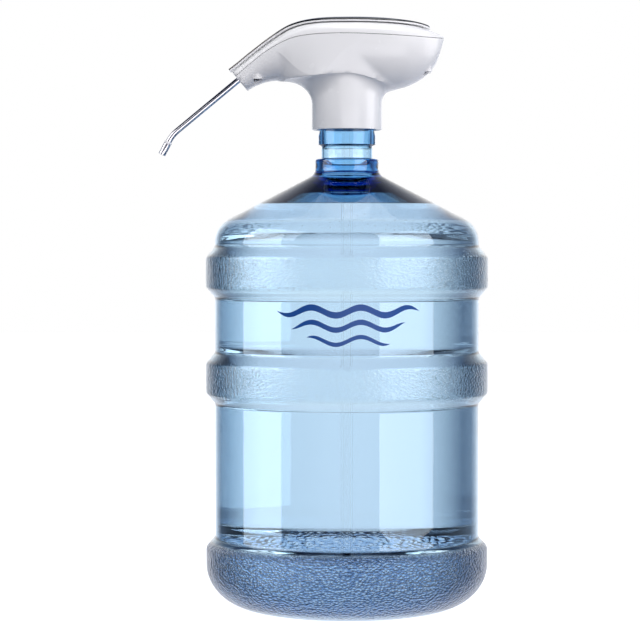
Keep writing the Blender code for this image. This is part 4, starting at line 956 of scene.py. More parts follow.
        def radius_at(index: int, angle: float) -> float:
            """Swell the crown out into a lug at either side."""
            r, z = profile[index]
            if index >= len(outer) or not lug_low < z < lug_high:
                return r
            turn = abs(math.sin(angle))
            share = min(max((math.sin(math.radians(17)) - turn) / 0.06, 0.0), 1.0)
            return r + (self.lug_radius - self.crown_radius) * share

        work = bmesh.new()
        lathe(work, profile, self.segments, radius_at=radius_at, grain=grain)
        return finished("bottle_wall", work, [self.finishes.wall], 60.0)

    def build_water(self) -> bpy.types.Object:
        """Make the water, a hair inside the wall, with a meniscus at its edge."""
        gap, rise = 0.00006, 0.0012
        line = self.split_at(divided(self.inner_line(), 0.006), self.water_level - rise)
        below = [(max(r - gap, 0.0), z + gap) for r, z in line if z <= self.water_level - rise + TINY]
        edge = below[-1][0]
        surface = [(edge - 0.0002, self.water_level - 0.0002), (edge - 0.0012, self.water_level - rise * 0.7),
                   (edge - 0.0040, self.water_level - rise), (0.0, self.water_level - rise)]
        work = bmesh.new()
        lathe(work, below + surface, self.segments)
        return finished("water", work, [self.finishes.water], 50.0)

    def build_mark(self) -> bpy.types.Object:
        """Print three plain waves on the front of the body."""
        work = bmesh.new()
        thick, lift = 0.00012, 0.00005
        middle_z = (self.lower_body_top + self.ring_height + self.upper_body_top) / 2 + 0.003
        for index in range(3):
            length = 0.138 - 0.030 * index
            height = middle_z + 0.0135 * (1 - index)
            self.ribbon(work, length, height, 0.0060 - 0.0010 * index, 0.0036, lift, thick)
        return finished("wave_mark", work, [self.finishes.ink])

    def ribbon(self, work: bmesh.types.BMesh, length: float, height: float, breadth: float, swing: float,
               lift: float, thick: float) -> None:
        """Add one printed wave, tapered at its ends and wrapped on the wall.

        Args:
            work: the mesh to add to.
            length: its length round the wall.
            height: its middle height.
            breadth: its breadth in the middle.
            swing: how far it waves up and down.
            lift: its gap to the wall.
            thick: how thick the ink is.
        """
        steps = 72
        rows = []
        for step in range(steps + 1):
            share = step / steps
            along = (share - 0.5) * length
            angle = -math.pi / 2 + along / self.body_radius
            z = height + swing * math.sin(2 * math.pi * along / 0.046)
            half = breadth / 2 * max(1.0 - (2 * share - 1) ** 6, 0.02)
            row = []
            for radius, offset in ((self.body_radius + lift, -half), (self.body_radius + lift, half),
                                   (self.body_radius + lift + thick, half),
                                   (self.body_radius + lift + thick, -half)):
                row.append(work.verts.new((radius * math.cos(angle), radius * math.sin(angle), z + offset)))
            rows.append(row)
        for first, second in zip(rows, rows[1:]):
            for corner in range(4):
                after = (corner + 1) % 4
                work.faces.new((first[corner], first[after], second[after], second[corner]))
        work.faces.new(rows[0][::-1])
        work.faces.new(rows[-1])

    def build_beads(self) -> bpy.types.Object:
        """Scatter small moulded beads low on the shoulder."""
        low, high = self.corner_z - 0.010, self.corner_z + 0.012
        line = divided(self.outer_line(), 0.002)
        band = [(r, z) for r, z in line if low < z < high and r > 0.1]
        work = bmesh.new()
        rows = [[work.verts.new(((r - 0.0002) * math.cos(turn), (r - 0.0002) * math.sin(turn), z))
                 for turn in (2 * math.pi * step / 96 for step in range(96))] for r, z in band]
        for first, second in zip(rows, rows[1:]):
            for step in range(96):
                after = (step + 1) % 96
                work.faces.new((first[step], first[after], second[after], second[step]))
        surface = finished("shoulder_band", work, [])
        scatter = Scatter("shoulder_scatter", self.finishes.wall)
        return scatter.run(surface, "shoulder_beads", Density=26000.0, Radius=0.0006, Spacing=0.0052,
                           Flatness=0.35, Seed=4)

    def build(self) -> list[bpy.types.Object]:
        """Make every piece of the bottle.

        Returns:
            The clear pieces.
        """
        wall = show(self.build_wall(), Body.BOTTLE, "bottle_wall", "bottle")
        water = show(self.build_water(), Body.BOTTLE, None)
        beads = show(self.build_beads(), Body.BOTTLE, "bottle_wall")
        show(self.build_mark(), Body.BOTTLE, None)
        return [wall, water, beads]


# ================================================================ the head's hull
@dataclass
class Hull:
    """The surfaces of the head: curves along X, as heights above the neck's top and half widths."""

    neck_top: float
    top: Curve = ((-0.1350, 0.0124), (-0.1101, 0.0288), (-0.0920, 0.0430), (-0.0717, 0.0582),
                  (-0.0530, 0.0698), (-0.0314, 0.0752), (-0.0008, 0.0766), (0.0332, 0.0758),
                  (0.0609, 0.0727), (0.0769, 0.0687), (0.0870, 0.0650), (0.0950, 0.0622))
    parting: Curve = ((-0.1350, 0.0004), (-0.1075, 0.0236), (-0.0930, 0.0357), (-0.0765, 0.0480),
                      (-0.0544, 0.0590), (-0.0320, 0.0626), (-0.0004, 0.0633), (0.0330, 0.0622),
                      (0.0610, 0.0610), (0.0780, 0.0604), (0.0870, 0.0604), (0.0950, 0.0606))
    keel: Curve = ((-0.1350, -0.0165), (-0.1100, 0.0015), (-0.0960, 0.0110), (-0.0860, 0.0166),
                   (-0.0733, 0.0203), (-0.0580, 0.0206), (-0.0320, 0.0175), (0.0000, 0.0125),
                   (0.0330, 0.0103), (0.0474, 0.0124), (0.0617, 0.0167), (0.0759, 0.0252),
                   (0.0858, 0.0366), (0.0900, 0.0479), (0.0936, 0.0605))
    width: Curve = ((-0.1350, 0.0098), (-0.1075, 0.0148), (-0.0890, 0.0196), (-0.0700, 0.0256),
                    (-0.0510, 0.0311), (-0.0300, 0.0366), (-0.0050, 0.0402), (0.0180, 0.0414),
                    (0.0400, 0.0400), (0.0580, 0.0358), (0.0720, 0.0292), (0.0820, 0.0222),
                    (0.0885, 0.0155), (0.0922, 0.0085), (0.0936, 0.0))
    lower_roundness: float = 2.3
    upper_roundness: float = 3.2
    front_x: float = -0.1340
    rear_x: float = 0.0936
    collar: float = 0.0337
    steps: int = 84
    rings: int = 30
    seam: float = 0.0005

    @staticmethod
    def along(curve: Curve, x: float) -> float:
        """Read a smooth curve.

        Args:
            curve: its points, in order of x.
            x: where to read it.

        Returns:
            The value there.
        """
        last = len(curve) - 1
        x = min(max(x, curve[0][0]), curve[last][0])
        span = max(index for index in range(last) if curve[index][0] <= x)
        slopes = []
        for index in (span, span + 1):
            low, high = max(index - 1, 0), min(index + 1, last)
            slopes.append((curve[high][1] - curve[low][1]) / (curve[high][0] - curve[low][0]))
        (x0, y0), (x1, y1) = curve[span], curve[span + 1]
        width = x1 - x0
        t = (x - x0) / width
        return ((2 * t ** 3 - 3 * t ** 2 + 1) * y0 + (t ** 3 - 2 * t ** 2 + t) * width * slopes[0]
                + (3 * t ** 2 - 2 * t ** 3) * y1 + (t ** 3 - t ** 2) * width * slopes[1])

    def half_width(self, x: float) -> float:
        """Half width of the hull at the parting line."""
        return 0.0 if x >= self.rear_x else max(self.along(self.width, x), 0.0)

    def parting_z(self, x: float) -> float:
        """Height of the seam between the two shells."""
        return self.neck_top + self.along(self.parting, x)

    @staticmethod
    def share(y: float, width: float, exponent: float) -> float:
        """How far a superellipse stands from its chord at y, from 0 at the rim to 1 in the middle."""
        if width <= 0.0:
            return 0.0
        return max(1.0 - min(abs(y) / width, 1.0) ** exponent, 0.0) ** (1.0 / exponent)

    def upper_z(self, x: float, y: float, inset: float = 0.0) -> float:
        """Height of the upper shell's skin, or of a surface inside it."""
        width = max(self.half_width(x) - inset, 0.0)
        low = self.parting_z(x)
        top = self.neck_top + self.along(self.top, x) - inset
        return low + (top - low) * self.share(y, width, self.upper_roundness)

    def flare_z(self, radius: float, angle: float, collar: float) -> float:
        """Height of the fillet from the collar's wall out into the underside."""
        front = max(-math.cos(angle), 0.0) ** 2
        rear = max(math.cos(angle), 0.0) ** 2
        side = 1.0 - front - rear
        start = self.neck_top - 0.0020 * front - 0.0010 * rear + 0.0120 * side
        reach = 0.0290 * front + 0.0140 * rear + 0.0030 * side
        rise = 0.0230 * front + 0.0140 * rear + 0.0140 * side
        steepness = 1.5 * front + 2.0 * rear + 6.0 * side
        out = radius - collar
        if out < reach:
            return start + rise * math.sqrt(max(1.0 - (1.0 - out / reach) ** 2, 0.0))
        return start + rise + steepness * (out - reach)

    def lower_z(self, x: float, y: float, collar: float, inset: float = 0.0) -> float:
        """Height of the lower shell's skin, where the belly meets the collar's flare."""
        width = max(self.half_width(x) - inset, 0.0)
        top = self.parting_z(x)
        keel = self.neck_top + self.along(self.keel, x) + inset
        belly = top - (top - keel) * self.share(y, width, self.lower_roundness)
        flare = self.flare_z(math.hypot(x, y), math.atan2(y, x), collar)
        blend = 0.0030
        mix = min(max(0.5 + 0.5 * (flare - belly) / blend, 0.0), 1.0)
        return flare + (belly - flare) * mix - blend * mix * (1.0 - mix)

    def outline(self, inset: float = 0.0) -> list[Pair]:
        """Give the plan outline.

        Args:
            inset: how far inside the skin it runs.

        Returns:
            The points, anticlockwise from the rear tip.
        """
        rear = self.rear_x - inset
        side = []
        for step in range(1, self.steps):
            share = step / self.steps
            x = rear + (self.front_x - rear) * (share ** 1.5 * 0.72 + 0.28 * share)
            side.append((x, max(self.half_width(x + inset * share) - inset, 0.0003)))
        front_width = self.half_width(self.front_x) - inset
        nose = [(self.front_x, front_width), (self.front_x, 0.0), (self.front_x, -front_width)]
        return [(rear, 0.0), *side, *nose, *[(x, -y) for x, y in reversed(side)]]

    def shares(self) -> list[float]:
        """Shares from 0 to 1, closer together at both ends."""
        return [(1.0 - math.cos(math.pi * step / self.rings)) / 2.0 for step in range(self.rings + 1)]

    def loft(self, rings: Sequence[Sequence[Sequence[float]]], start: Vector, end: Vector,
             name: str, finishes: Sequence[bpy.types.Material],
             slots: Optional[Callable[[int, float], int]] = None) -> bpy.types.Object:
        """Make a closed solid through rings.

        Args:
            rings: lists of points, all of one length.
            start: the point that closes the first ring.
            end: the point that closes the last ring.
            name: the object's name.
            finishes: its materials.
            slots: gives a face's slot from its ring's index and its x.

        Returns:
            The object.
        """
        work = bmesh.new()
        rows = [[work.verts.new(point) for point in ring] for ring in rings]
        count = len(rows[0])
        first, last = work.verts.new(start), work.verts.new(end)
        for index in range(count):
            after = (index + 1) % count
            work.faces.new((first, rows[0][after], rows[0][index]))
            for level, (lower, upper) in enumerate(zip(rows, rows[1:])):
                face = work.faces.new((lower[index], lower[after], upper[after], upper[index]))
                if slots:
                    face.material_index = slots(level, lower[index].co.x)
            work.faces.new((rows[-1][index], rows[-1][after], last))
        return finished(name, work, finishes, 32.0)

    def lower_solid(self, name: str, collar: float, inset: float, bottom: float, above: float,
                    finishes: Sequence[bpy.types.Material], lip: float = 0.0) -> bpy.types.Object:
        """Make the lower hull and collar as one solid.

        Args:
            name: its name.
            collar: the collar's radius.
            inset: how far inside the skin it runs.
            bottom: the collar's lowest height.
            above: how far past the seam it reaches.
            finishes: its materials.
            lip: how far the collar's lower edge is rounded.

        Returns:
            The object.
        """
        outline = self.outline(inset)
        angles = [math.atan2(y, x) for x, y in outline]
        rings = []
        for radius, z in [(collar - lip * (1 - math.sin(math.pi / 2 * step / 3)),
                           bottom + lip * (1 - math.cos(math.pi / 2 * step / 3)))
                          for step in range(4 if lip else 1)]:
            rings.append([(radius * math.cos(angle), radius * math.sin(angle), z) for angle in angles])
        circle = [(collar * math.cos(angle), collar * math.sin(angle)) for angle in angles]
        for share in self.shares():
            ring = []
            for (cx, cy), (ox, oy) in zip(circle, outline):
                x, y = cx + (ox - cx) * share, cy + (oy - cy) * share
                ring.append((x, y, self.parting_z(x) if share == 1.0 else self.lower_z(x, y, collar, inset)))
            rings.append(ring)
        for share in (1.0, 0.75, 0.5, 0.25):
            if share < 1.0 or above:
                rings.append([(x * share, y * share, self.parting_z(x * share) + above) for x, y in outline])
        start = Vector((0.0, 0.0, bottom))
        return self.loft(rings, start, Vector((0.0, 0.0, self.parting_z(0.0) + above)), name, finishes)

    def upper_solid(self, name: str, inset: float, below: float,
                    finishes: Sequence[bpy.types.Material]) -> bpy.types.Object:
        """Make the upper hull as one solid.

        Args:
            name: its name.
            inset: how far inside the skin it runs.
            below: how far past the seam it reaches.
            finishes: its materials.

        Returns:
            The object.
        """
        outline = self.outline(inset)
        floor = self.seam - below
        rings = [[(x * share, y * share, self.parting_z(x * share) + floor) for x, y in outline]
                 for share in (0.25, 0.5, 0.75, 1.0)]
        for share in reversed(self.shares()[1:]):
            lift = self.seam if share < 1.0 else self.seam + 0.0003
            rings.append([(x * share, y * share, self.upper_z(x * share, y * share, inset) + lift)
                          for x, y in outline])
        start = Vector((0.0, 0.0, self.parting_z(0.0) + floor))
        end = Vector((0.0, 0.0, self.upper_z(0, 0, inset) + self.seam))
        return self.loft(rings, start, end, name, finishes)

    def above(self, x: float, y: float, rise: float) -> float:
        """Height over the upper shell, measured square to its slope along the head."""
        step = 0.002
        slope = (self.along(self.top, x + step) - self.along(self.top, x - step)) / (2 * step)
        return self.upper_z(x, y) + self.seam + rise * math.sqrt(1.0 + slope * slope)


# ================================================================ the head's pieces
@dataclass
class Head:
    """The pump head's housing, panel and button, with the screws and the charging flap."""

    finishes: Palette
    hull: Hull
    wall: float = 0.0022
    collar_drop: float = 0.0267
    collar_lip: float = 0.0290
    deck_height: float = 0.0024
    spout_angle: float = math.radians(39.6)
    spout_exit_x: float = -0.1046
    spout_exit_rise: float = 0.0215
    socket_radius: float = 0.0048
    well_radius: float = 0.0040
    panel_share: float = 0.86
    panel_gap: float = 0.0017
    carrier_rise: float = 0.0032
    panel_rise: float = 0.0045
    screws: tuple[tuple[str, float, float], ...] = (
        ("front_left", -0.0860, -0.0125), ("front_right", -0.0860, 0.0125),
        ("rear_left", 0.0765, -0.0105), ("rear_right", 0.0765, 0.0105))

    def __post_init__(self) -> None:
        """Work out the spout's direction and exit."""
        self.direction = Vector((-math.cos(self.spout_angle), 0.0, -math.sin(self.spout_angle)))
        self.exit = Vector((self.spout_exit_x, 0.0, self.hull.neck_top + self.spout_exit_rise))

    def front_plane(self, depth: float) -> bpy.types.Object:
        """Make a block in front of the plane that ends the snout.

        Args:
            depth: how far behind the snout's face the plane lies.

        Returns:
            The cutting object.
        """
        reach = 0.12
        middle = self.exit - self.direction * depth + self.direction * reach / 2
        turn = Matrix.Translation(middle) @ Matrix.Rotation(-self.spout_angle, 4, "Y")
        return plain_object("front_plane", lambda work: block(work, (reach, reach, reach), turn))

    def shelf_z(self, x: float, y: float) -> float:
        """Height of the shelf that a screw's head pulls up against."""
        return self.hull.lower_z(x, y, self.hull.collar) + 0.0075

    def build_lower(self) -> bpy.types.Object:
        """Make the lower housing with its collar, deck, screw wells, spout hole and flap recess."""
        hull, finish = self.hull, self.finishes.shell
        bottom = hull.neck_top - self.collar_drop
        shell = hull.lower_solid("lower_housing", hull.collar, 0.0, bottom, 0.0, [finish], 0.0007)
        carve(shell, self.front_plane(0.0))
        cavity = hull.lower_solid("lower_cavity", hull.collar - self.wall, self.wall,
                                  bottom - 0.010, 0.010, [])
        carve(cavity, self.front_plane(self.wall))
        carve(shell, cavity)
        inside = hull.collar - self.wall / 2
        lip = plain_object("lip", lambda work: lathe(work, [
            (self.collar_lip, bottom + 0.0020), (inside, bottom + 0.0020), (inside, bottom + 0.0002),
            (self.collar_lip, bottom + 0.0002)], 96))
        carve(shell, lip, "UNION")
        deck_low = hull.neck_top + 0.0003
        deck = plain_object("deck", lambda work: lathe(work, [
            (0.0026, deck_low + self.deck_height), (inside, deck_low + self.deck_height), (inside, deck_low),
            (0.0026, deck_low)], 96))
        carve(shell, deck, "UNION")
        for name, x, y in self.screws:
            shelf = self.shelf_z(x, y)
            low = hull.lower_z(x, y, hull.collar) + self.wall * 0.6
            carve(shell, bar(f"well_{name}", self.well_radius + 0.0012, Vector((x, y, low)),
                             Vector((x, y, shelf + 0.0022))), "UNION")
        for name, x, y in self.screws:
            shelf = self.shelf_z(x, y)
            carve(shell, bar(f"hole_{name}", self.well_radius, Vector((x, y, shelf - 0.030)),
                             Vector((x, y, shelf)), 40))
        carve(shell, bar("spout_hole", self.socket_radius, self.exit + self.direction * 0.01,
                         self.exit - self.direction * 0.01, 48))
        self.cut_flap_recess(shell)
        return shell

    def cut_flap_recess(self, shell: bpy.types.Object) -> None:
        """Sink the flap's seat and the charging port into the rear of the housing."""
        low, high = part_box("charge_flap")
        size = Vector((high.x - low.x, high.y - low.y, high.z - low.z))
        middle = (low + high) / 2
        turn = Matrix.Translation(middle) @ Matrix.Rotation(math.radians(15), 4, "Y")
        recess = (0.0040, size.y + 0.0008, size.z + 0.0004)
        shift = Matrix.Translation(Vector((0.0009, 0.0, 0.0)))
        carve(shell, plain_object("recess", lambda work: block(work, recess, turn @ shift, 0.0006)))
        carve(shell, plain_object("port", lambda work: block(work, (0.030, 0.0096, 0.0040), turn, 0.0008)))

    def build_upper(self) -> bpy.types.Object:
        """Make the upper housing."""
        hull = self.hull
        shell = hull.upper_solid("upper_housing", 0.0, 0.0, [self.finishes.shell])
        carve(shell, self.front_plane(0.0))
        cavity = hull.upper_solid("upper_cavity", self.wall, 0.010, [])
        carve(cavity, self.front_plane(self.wall))
        carve(shell, cavity)
        self.drill_top(shell, 0.0029, 0.0021, "shell")
        return shell

    def drill_top(self, piece: bpy.types.Object, button: float, lamp: float, name: str) -> None:
        """Drill the button's and the light's holes.

        Args:
            piece: what is drilled.
            button: the button hole's radius.
            lamp: the light hole's radius.
            name: used in the tools' names.
        """
        for label, node, radius in (("button", "dispense_button", button), ("lamp", "status_light", lamp)):
            low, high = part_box(node)
            x = (low.x + high.x) / 2
            carve(piece, bar(f"{name}_{label}", radius, Vector((x, 0.0, low.z - 0.004)),
                             Vector((x, 0.0, high.z + 0.010)), 64))

    def plate(self, name: str, levels: Sequence[Pair], finishes: Sequence[bpy.types.Material],
              slots: Optional[Callable[[int, float], int]] = None) -> bpy.types.Object:
        """Make a plate that follows the upper shell.

        Args:
            name: its name.
            levels: (share of the plan, rise) for each ring, from the bottom's middle to the top's middle.
            finishes: its materials.
            slots: gives a face's slot from its ring's index and its x.

        Returns:
            The plate, cut at the snout and drilled.
        """
        hull = self.hull
        outline = hull.outline()
        rings = [[(x * share, y * share, hull.above(x * share, y * share, rise)) for x, y in outline]
                 for share, rise in levels]
        start = Vector((0.0, 0.0, hull.above(0.0, 0.0, levels[0][1])))
        end = Vector((0.0, 0.0, hull.above(0.0, 0.0, levels[-1][1])))
        piece = hull.loft(rings, start, end, name, finishes, slots)
        carve(piece, self.front_plane(-0.0010))
        self.drill_top(piece, 0.0104, 0.0021, name)
        return piece

    def build_carrier(self) -> bpy.types.Object:
        """Make the white carrier under the gloss panel, stepped in at its foot for the shadow line."""
        inner = [share for share in self.hull.shares()[1:] if share < self.panel_share - 0.03]
        levels = [(share, 0.0009) for share in inner]
        edge = self.panel_share
        levels += [(inner[-1], self.panel_gap), (edge - 0.003, self.panel_gap),
                   (edge, self.panel_gap + 0.0003),
                   (edge, self.carrier_rise - 0.0002), (edge - 0.002, self.carrier_rise)]
        levels += [(share, self.carrier_rise) for share in reversed(inner)]
        return self.plate("panel_carrier", levels, [self.finishes.shell])

    def build_panel(self) -> bpy.types.Object:
        """Make the gloss panel on its carrier, with a softly rounded rim."""
        inner = [share for share in self.hull.shares()[1:] if share < self.panel_share - 0.03]
        low, high = self.carrier_rise + 0.00008, self.panel_rise
        edge = self.panel_share + 0.001
        levels = [(share, low) for share in inner]
        levels += [(edge, low), (edge, high - 0.0006)]
        levels += [(edge - 0.0035, high - 0.00018), (edge - 0.009, high)]
        levels += [(share, high) for share in reversed(inner)]
        side = len(inner)

        def slot(level: int, x: float) -> int:
            """Give the rim of the sloping front part a satin finish and a painted grey highlight."""
            return 1 if level in (side, side + 1) and x < -0.071 else 0

        return self.plate("gloss_panel", levels, [self.finishes.panel, self.finishes.panel_satin_rim_highlight], slot)

    def build_button(self) -> bpy.types.Object:
        """Make the button: a dished cap with a raised rim, and its stem."""
        low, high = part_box("dispense_button")
        radius, x = (high.x - low.x) / 2, (low.x + high.x) / 2
        top, cap = high.z, 0.0030
        profile = [(0.0, top - 0.0009), (radius * 0.35, top - 0.00085), (radius * 0.62, top - 0.00055),
                   *arc((radius * 0.80, top - 0.0005), (0.0009, 0.0005), 150, 60, 6),
                   *arc((radius - 0.0009, top - 0.0012), (0.0009, 0.0010), 80, 0, 6), (radius, top - cap),
                   (0.0025, top - cap), (0.0025, low.z), (0.0, low.z)]
        return turned("button_cap", profile, self.finishes.button, 96, Matrix.Translation((x, 0.0, 0.0)))

    def build_lens(self) -> bpy.types.Object:
        """Make the status light's domed light pipe."""
        low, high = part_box("status_light")
        radius, x = (high.x - low.x) / 2, (low.x + high.x) / 2
        profile = [(0.0, high.z), *arc((radius - 0.0006, high.z - 0.0006), (0.0006, 0.0006), 90, 0, 5),
                   (radius, low.z), (0.0, low.z)]
        return turned("status_lens", profile, self.finishes.lens, 48, Matrix.Translation((x, 0.0, 0.0)))

    def build_screw(self, name: str, x: float, y: float) -> bpy.types.Object:
        """Make a housing screw with a domed head, a cross recess and a thread.

        Args:
            name: its place's name.
            x: where it stands.
            y: where it stands.

        Returns:
            The screw.
        """
        low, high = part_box(f"housing_screw_{name}")
        head, shank = (high.x - low.x) / 2, 0.0014
        under = low.z + 0.0020
        thread = []
        turns = 9
        for step in range(turns):
            z = high.z - 0.0018 - (high.z - 0.0018 - under) * (step + 0.5) / turns
            thread += [(shank - 0.0003, z + 0.00035), (shank, z), (shank - 0.0003, z - 0.00035)]
        profile = [(0.0, high.z), (0.0004, high.z), (shank - 0.0003, high.z - 0.0014), *thread,
                   (shank - 0.0003, under), (head, under), (head, under - 0.0006),
                   *arc((0.0, under - 0.0006), (head, 0.0014), 0, -90, 7)]
        piece = turned(f"screw_{name}", profile, self.finishes.screw, 32, Matrix.Translation((x, y, 0.0)))
        for index in range(2):
            turn = Matrix.Translation((x, y, low.z + 0.0001)) @ Matrix.Rotation(math.pi / 2 * index, 4, "Z")
            size = (head * 1.15, 0.0007, 0.0018)
            carve(piece, plain_object("cross", lambda work, turn=turn, size=size: block(work, size, turn)))
        return piece

    def build_flap(self) -> bpy.types.Object:
        """Make the soft flap over the charging port, with a finger ridge along its top edge."""
        low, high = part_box("charge_flap")
        tilt = math.radians(15)
        thick, height = 0.0016, 0.0085
        middle = (low + high) / 2
        turn = Matrix.Translation(middle) @ Matrix.Rotation(tilt, 4, "Y")
        work = bmesh.new()
        shift = Matrix.Translation((-0.00015, 0, 0))
        block(work, (thick - 0.0003, high.y - low.y, height), turn @ shift, 0.0005)
        ridge = turn @ Matrix.Translation((0.00045, 0.0, height * 0.34))
        block(work, (0.0007, (high.y - low.y) * 0.55, 0.0010), ridge, 0.0003)
        return finished("port_flap", work, [self.finishes.flap])

    def build_seal(self) -> bpy.types.Object:
        """Make the ribbed ring that grips the bottle's neck."""
        low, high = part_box("neck_seal")
        outer = high.x
        inner = 0.0279
        ribs = []
        count = 5
        for step in range(count):
            z = low.z + (high.z - low.z) * (step + 0.5) / count
            ribs += [(inner + 0.0006, z - 0.0012), (inner, z), (inner + 0.0006, z + 0.0012)]
        profile = [(inner + 0.0006, low.z), *ribs, (inner + 0.0006, high.z), (outer - 0.0006, high.z),
                   (outer, high.z - 0.0006), (outer, low.z + 0.0006), (outer - 0.0006, low.z)]
        return turned("grip_seal", profile, self.finishes.seal, 128)

    def build(self) -> None:
        """Make every piece of the head that shows from outside."""
        show(self.build_lower(), Body.HEAD, "shell_plastic", "lower_shell")
        show(self.build_upper(), Body.HEAD, "shell_plastic", "upper_shell")
        show(self.build_carrier(), Body.HEAD, "shell_plastic")
        show(self.build_panel(), Body.HEAD, "panel_gloss", "top_panel")
        show(self.build_button(), Body.BUTTON, "button_grey", "dispense_button")
        show(self.build_lens(), Body.HEAD, "light_lens", "status_light")
        show(self.build_flap(), Body.FLAP, "flap_rubber", "charge_flap")
        show(self.build_seal(), Body.SEAL, "seal_rubber", "neck_seal")
        for name, x, y in self.screws:
            show(self.build_screw(name, x, y), Body.HEAD, "screw_steel", f"housing_screw_{name}")


@dataclass
class Spout:
    """The plated spout with its nozzle and light ring."""

    finishes: Palette
    head: Head
    length: float = 0.0763
    insertion: float = 0.0150
    bend_radius: float = 0.036
    tip_angle: float = math.radians(62.3)
    radius: float = 0.0030
    bore: float = 0.0022
    nozzle_radius: float = 0.00365
    nozzle_length: float = 0.0122
    ring_radius: float = 0.00395
    ring_length: float = 0.0016
    overlap: float = 0.0090
    gap: float = 0.0003

    def __post_init__(self) -> None:
        """Work out the tip's direction and the centre line."""
        head = self.head
        self.tip = Vector((-math.cos(self.tip_angle), 0.0, -math.sin(self.tip_angle)))
        start = head.exit - head.direction * self.insertion
        bend = head.exit + head.direction * self.length
        turn = self.tip_angle - head.spout_angle
        side = Vector((head.direction.z, 0.0, -head.direction.x))
        if side.z > 0:
            side.negate()
        centre = bend + side * self.bend_radius
        self.route = [start, head.exit, start.lerp(bend, 0.6), bend]
        for step in range(1, 25):
            angle = turn * step / 24
            self.route.append(centre - side * self.bend_radius * math.cos(angle)
                              + head.direction * self.bend_radius * math.sin(angle))
        self.route.append(self.route[-1] + self.tip * self.overlap)

    def build(self) -> None:
        """Make the spout's three pieces."""
        work = bmesh.new()
        swept(work, self.route, self.radius, self.bore, 64)
        pipe = finished("spout_pipe", work, [self.finishes.chrome], 50.0)
        show(pipe, Body.SPOUT, "spout_chrome", "spout_tube")
        grip = self.radius + self.gap
        top = self.route[-1] - self.tip * (self.overlap - self.ring_length - self.gap)
        mouth = top + self.tip * self.nozzle_length
        turn = (-self.tip).to_track_quat("Z", "Y").to_matrix().to_4x4()
        long, wide = self.nozzle_length, self.nozzle_radius
        groove = [(wide, long * 0.36), (wide - 0.00025, long * 0.34), (wide - 0.00025, long * 0.31),
                  (wide, long * 0.29)]
        profile = [(grip, long), *arc((wide - 0.0004, long - 0.0004), (0.0004, 0.0004), 90, 0, 4), *groove,
                   *arc((wide - 0.0005, 0.0005), (0.0005, 0.0005), 0, -90, 4),
                   (0.0026, 0.0), (0.0026, 0.0035),
                   (grip, 0.0038)]
        show(turned("nozzle_sleeve", profile, self.finishes.chrome, 72, Matrix.Translation(mouth) @ turn),
             Body.SPOUT, "spout_chrome", "spout_nozzle")
        ring = [(grip, self.ring_length), (self.ring_radius - 0.0003, self.ring_length),
                (self.ring_radius, self.ring_length - 0.0003), (self.ring_radius, 0.0003),
                (self.ring_radius - 0.0003, 0.0), (grip, 0.0)]
        show(turned("nozzle_band", ring, self.finishes.shell, 72,
                    Matrix.Translation(top - self.tip * self.gap) @ turn),
             Body.SPOUT, "shell_plastic", "nozzle_ring")


@dataclass
class Inside:
    """The pieces inside the head and bottle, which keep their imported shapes."""

    finishes: Palette

    def dress(self) -> None:
        """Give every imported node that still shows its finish."""
        chosen = {
            self.finishes.tube_in_water: ("suction_tube", "suction_strainer"),
            self.finishes.inner: ("gear_case", "pump_cover", "motor_cradle", "battery_tray", "switch",
                                  "spout_socket"),
            self.finishes.clear: ("inlet_elbow",),
            self.finishes.hose: ("inlet_hose", "outlet_hose"),
            self.finishes.seal: ("spout_seal",),
            self.finishes.spring: ("button_spring",),
            self.finishes.motor: ("pump_motor", "charge_socket"),
            self.finishes.brass: ("drive_gear", "idler_gear"),
            self.finishes.board: ("control_board", "charge_board"),
            self.finishes.cell: ("battery",),
            self.finishes.lead: ("motor_lead", "battery_lead"),
        }
        for finish, nodes in chosen.items():
            for name in nodes:
                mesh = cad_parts[name].data
                mesh.materials.clear()
                mesh.materials.append(finish)
                LOG.info("%s: packed shape in %s", name, finish.name)


# ================================================================ studio
# How the world's brightness changes along each axis, as (0 for -1 and 1 for +1, colour).
WORLD_ACROSS = ((0.0, (0.10, 0.13, 0.17)), (0.20, (0.14, 0.18, 0.24)), (0.36, (1.0, 1.0, 1.0)),
                (0.68, (1.0, 1.0, 1.0)), (0.84, (0.28, 0.34, 0.42)), (1.0, (0.22, 0.26, 0.32)))
WORLD_DEPTH = ((0.0, (0.22, 0.22, 0.24)), (0.42, (0.26, 0.26, 0.28)), (0.62, (1.0, 1.0, 1.0)),
               (1.0, (1.0, 1.0, 1.0)))
WORLD_HEIGHT = ((0.0, (0.80, 0.81, 0.88)), (0.40, (0.88, 0.89, 0.95)), (0.50, (0.96, 0.97, 1.0)),
                (0.60, (1.0, 1.0, 1.0)), (0.72, (0.45, 0.48, 0.56)), (0.84, (0.06, 0.08, 0.16)),
                (1.0, (0.03, 0.04, 0.09)))


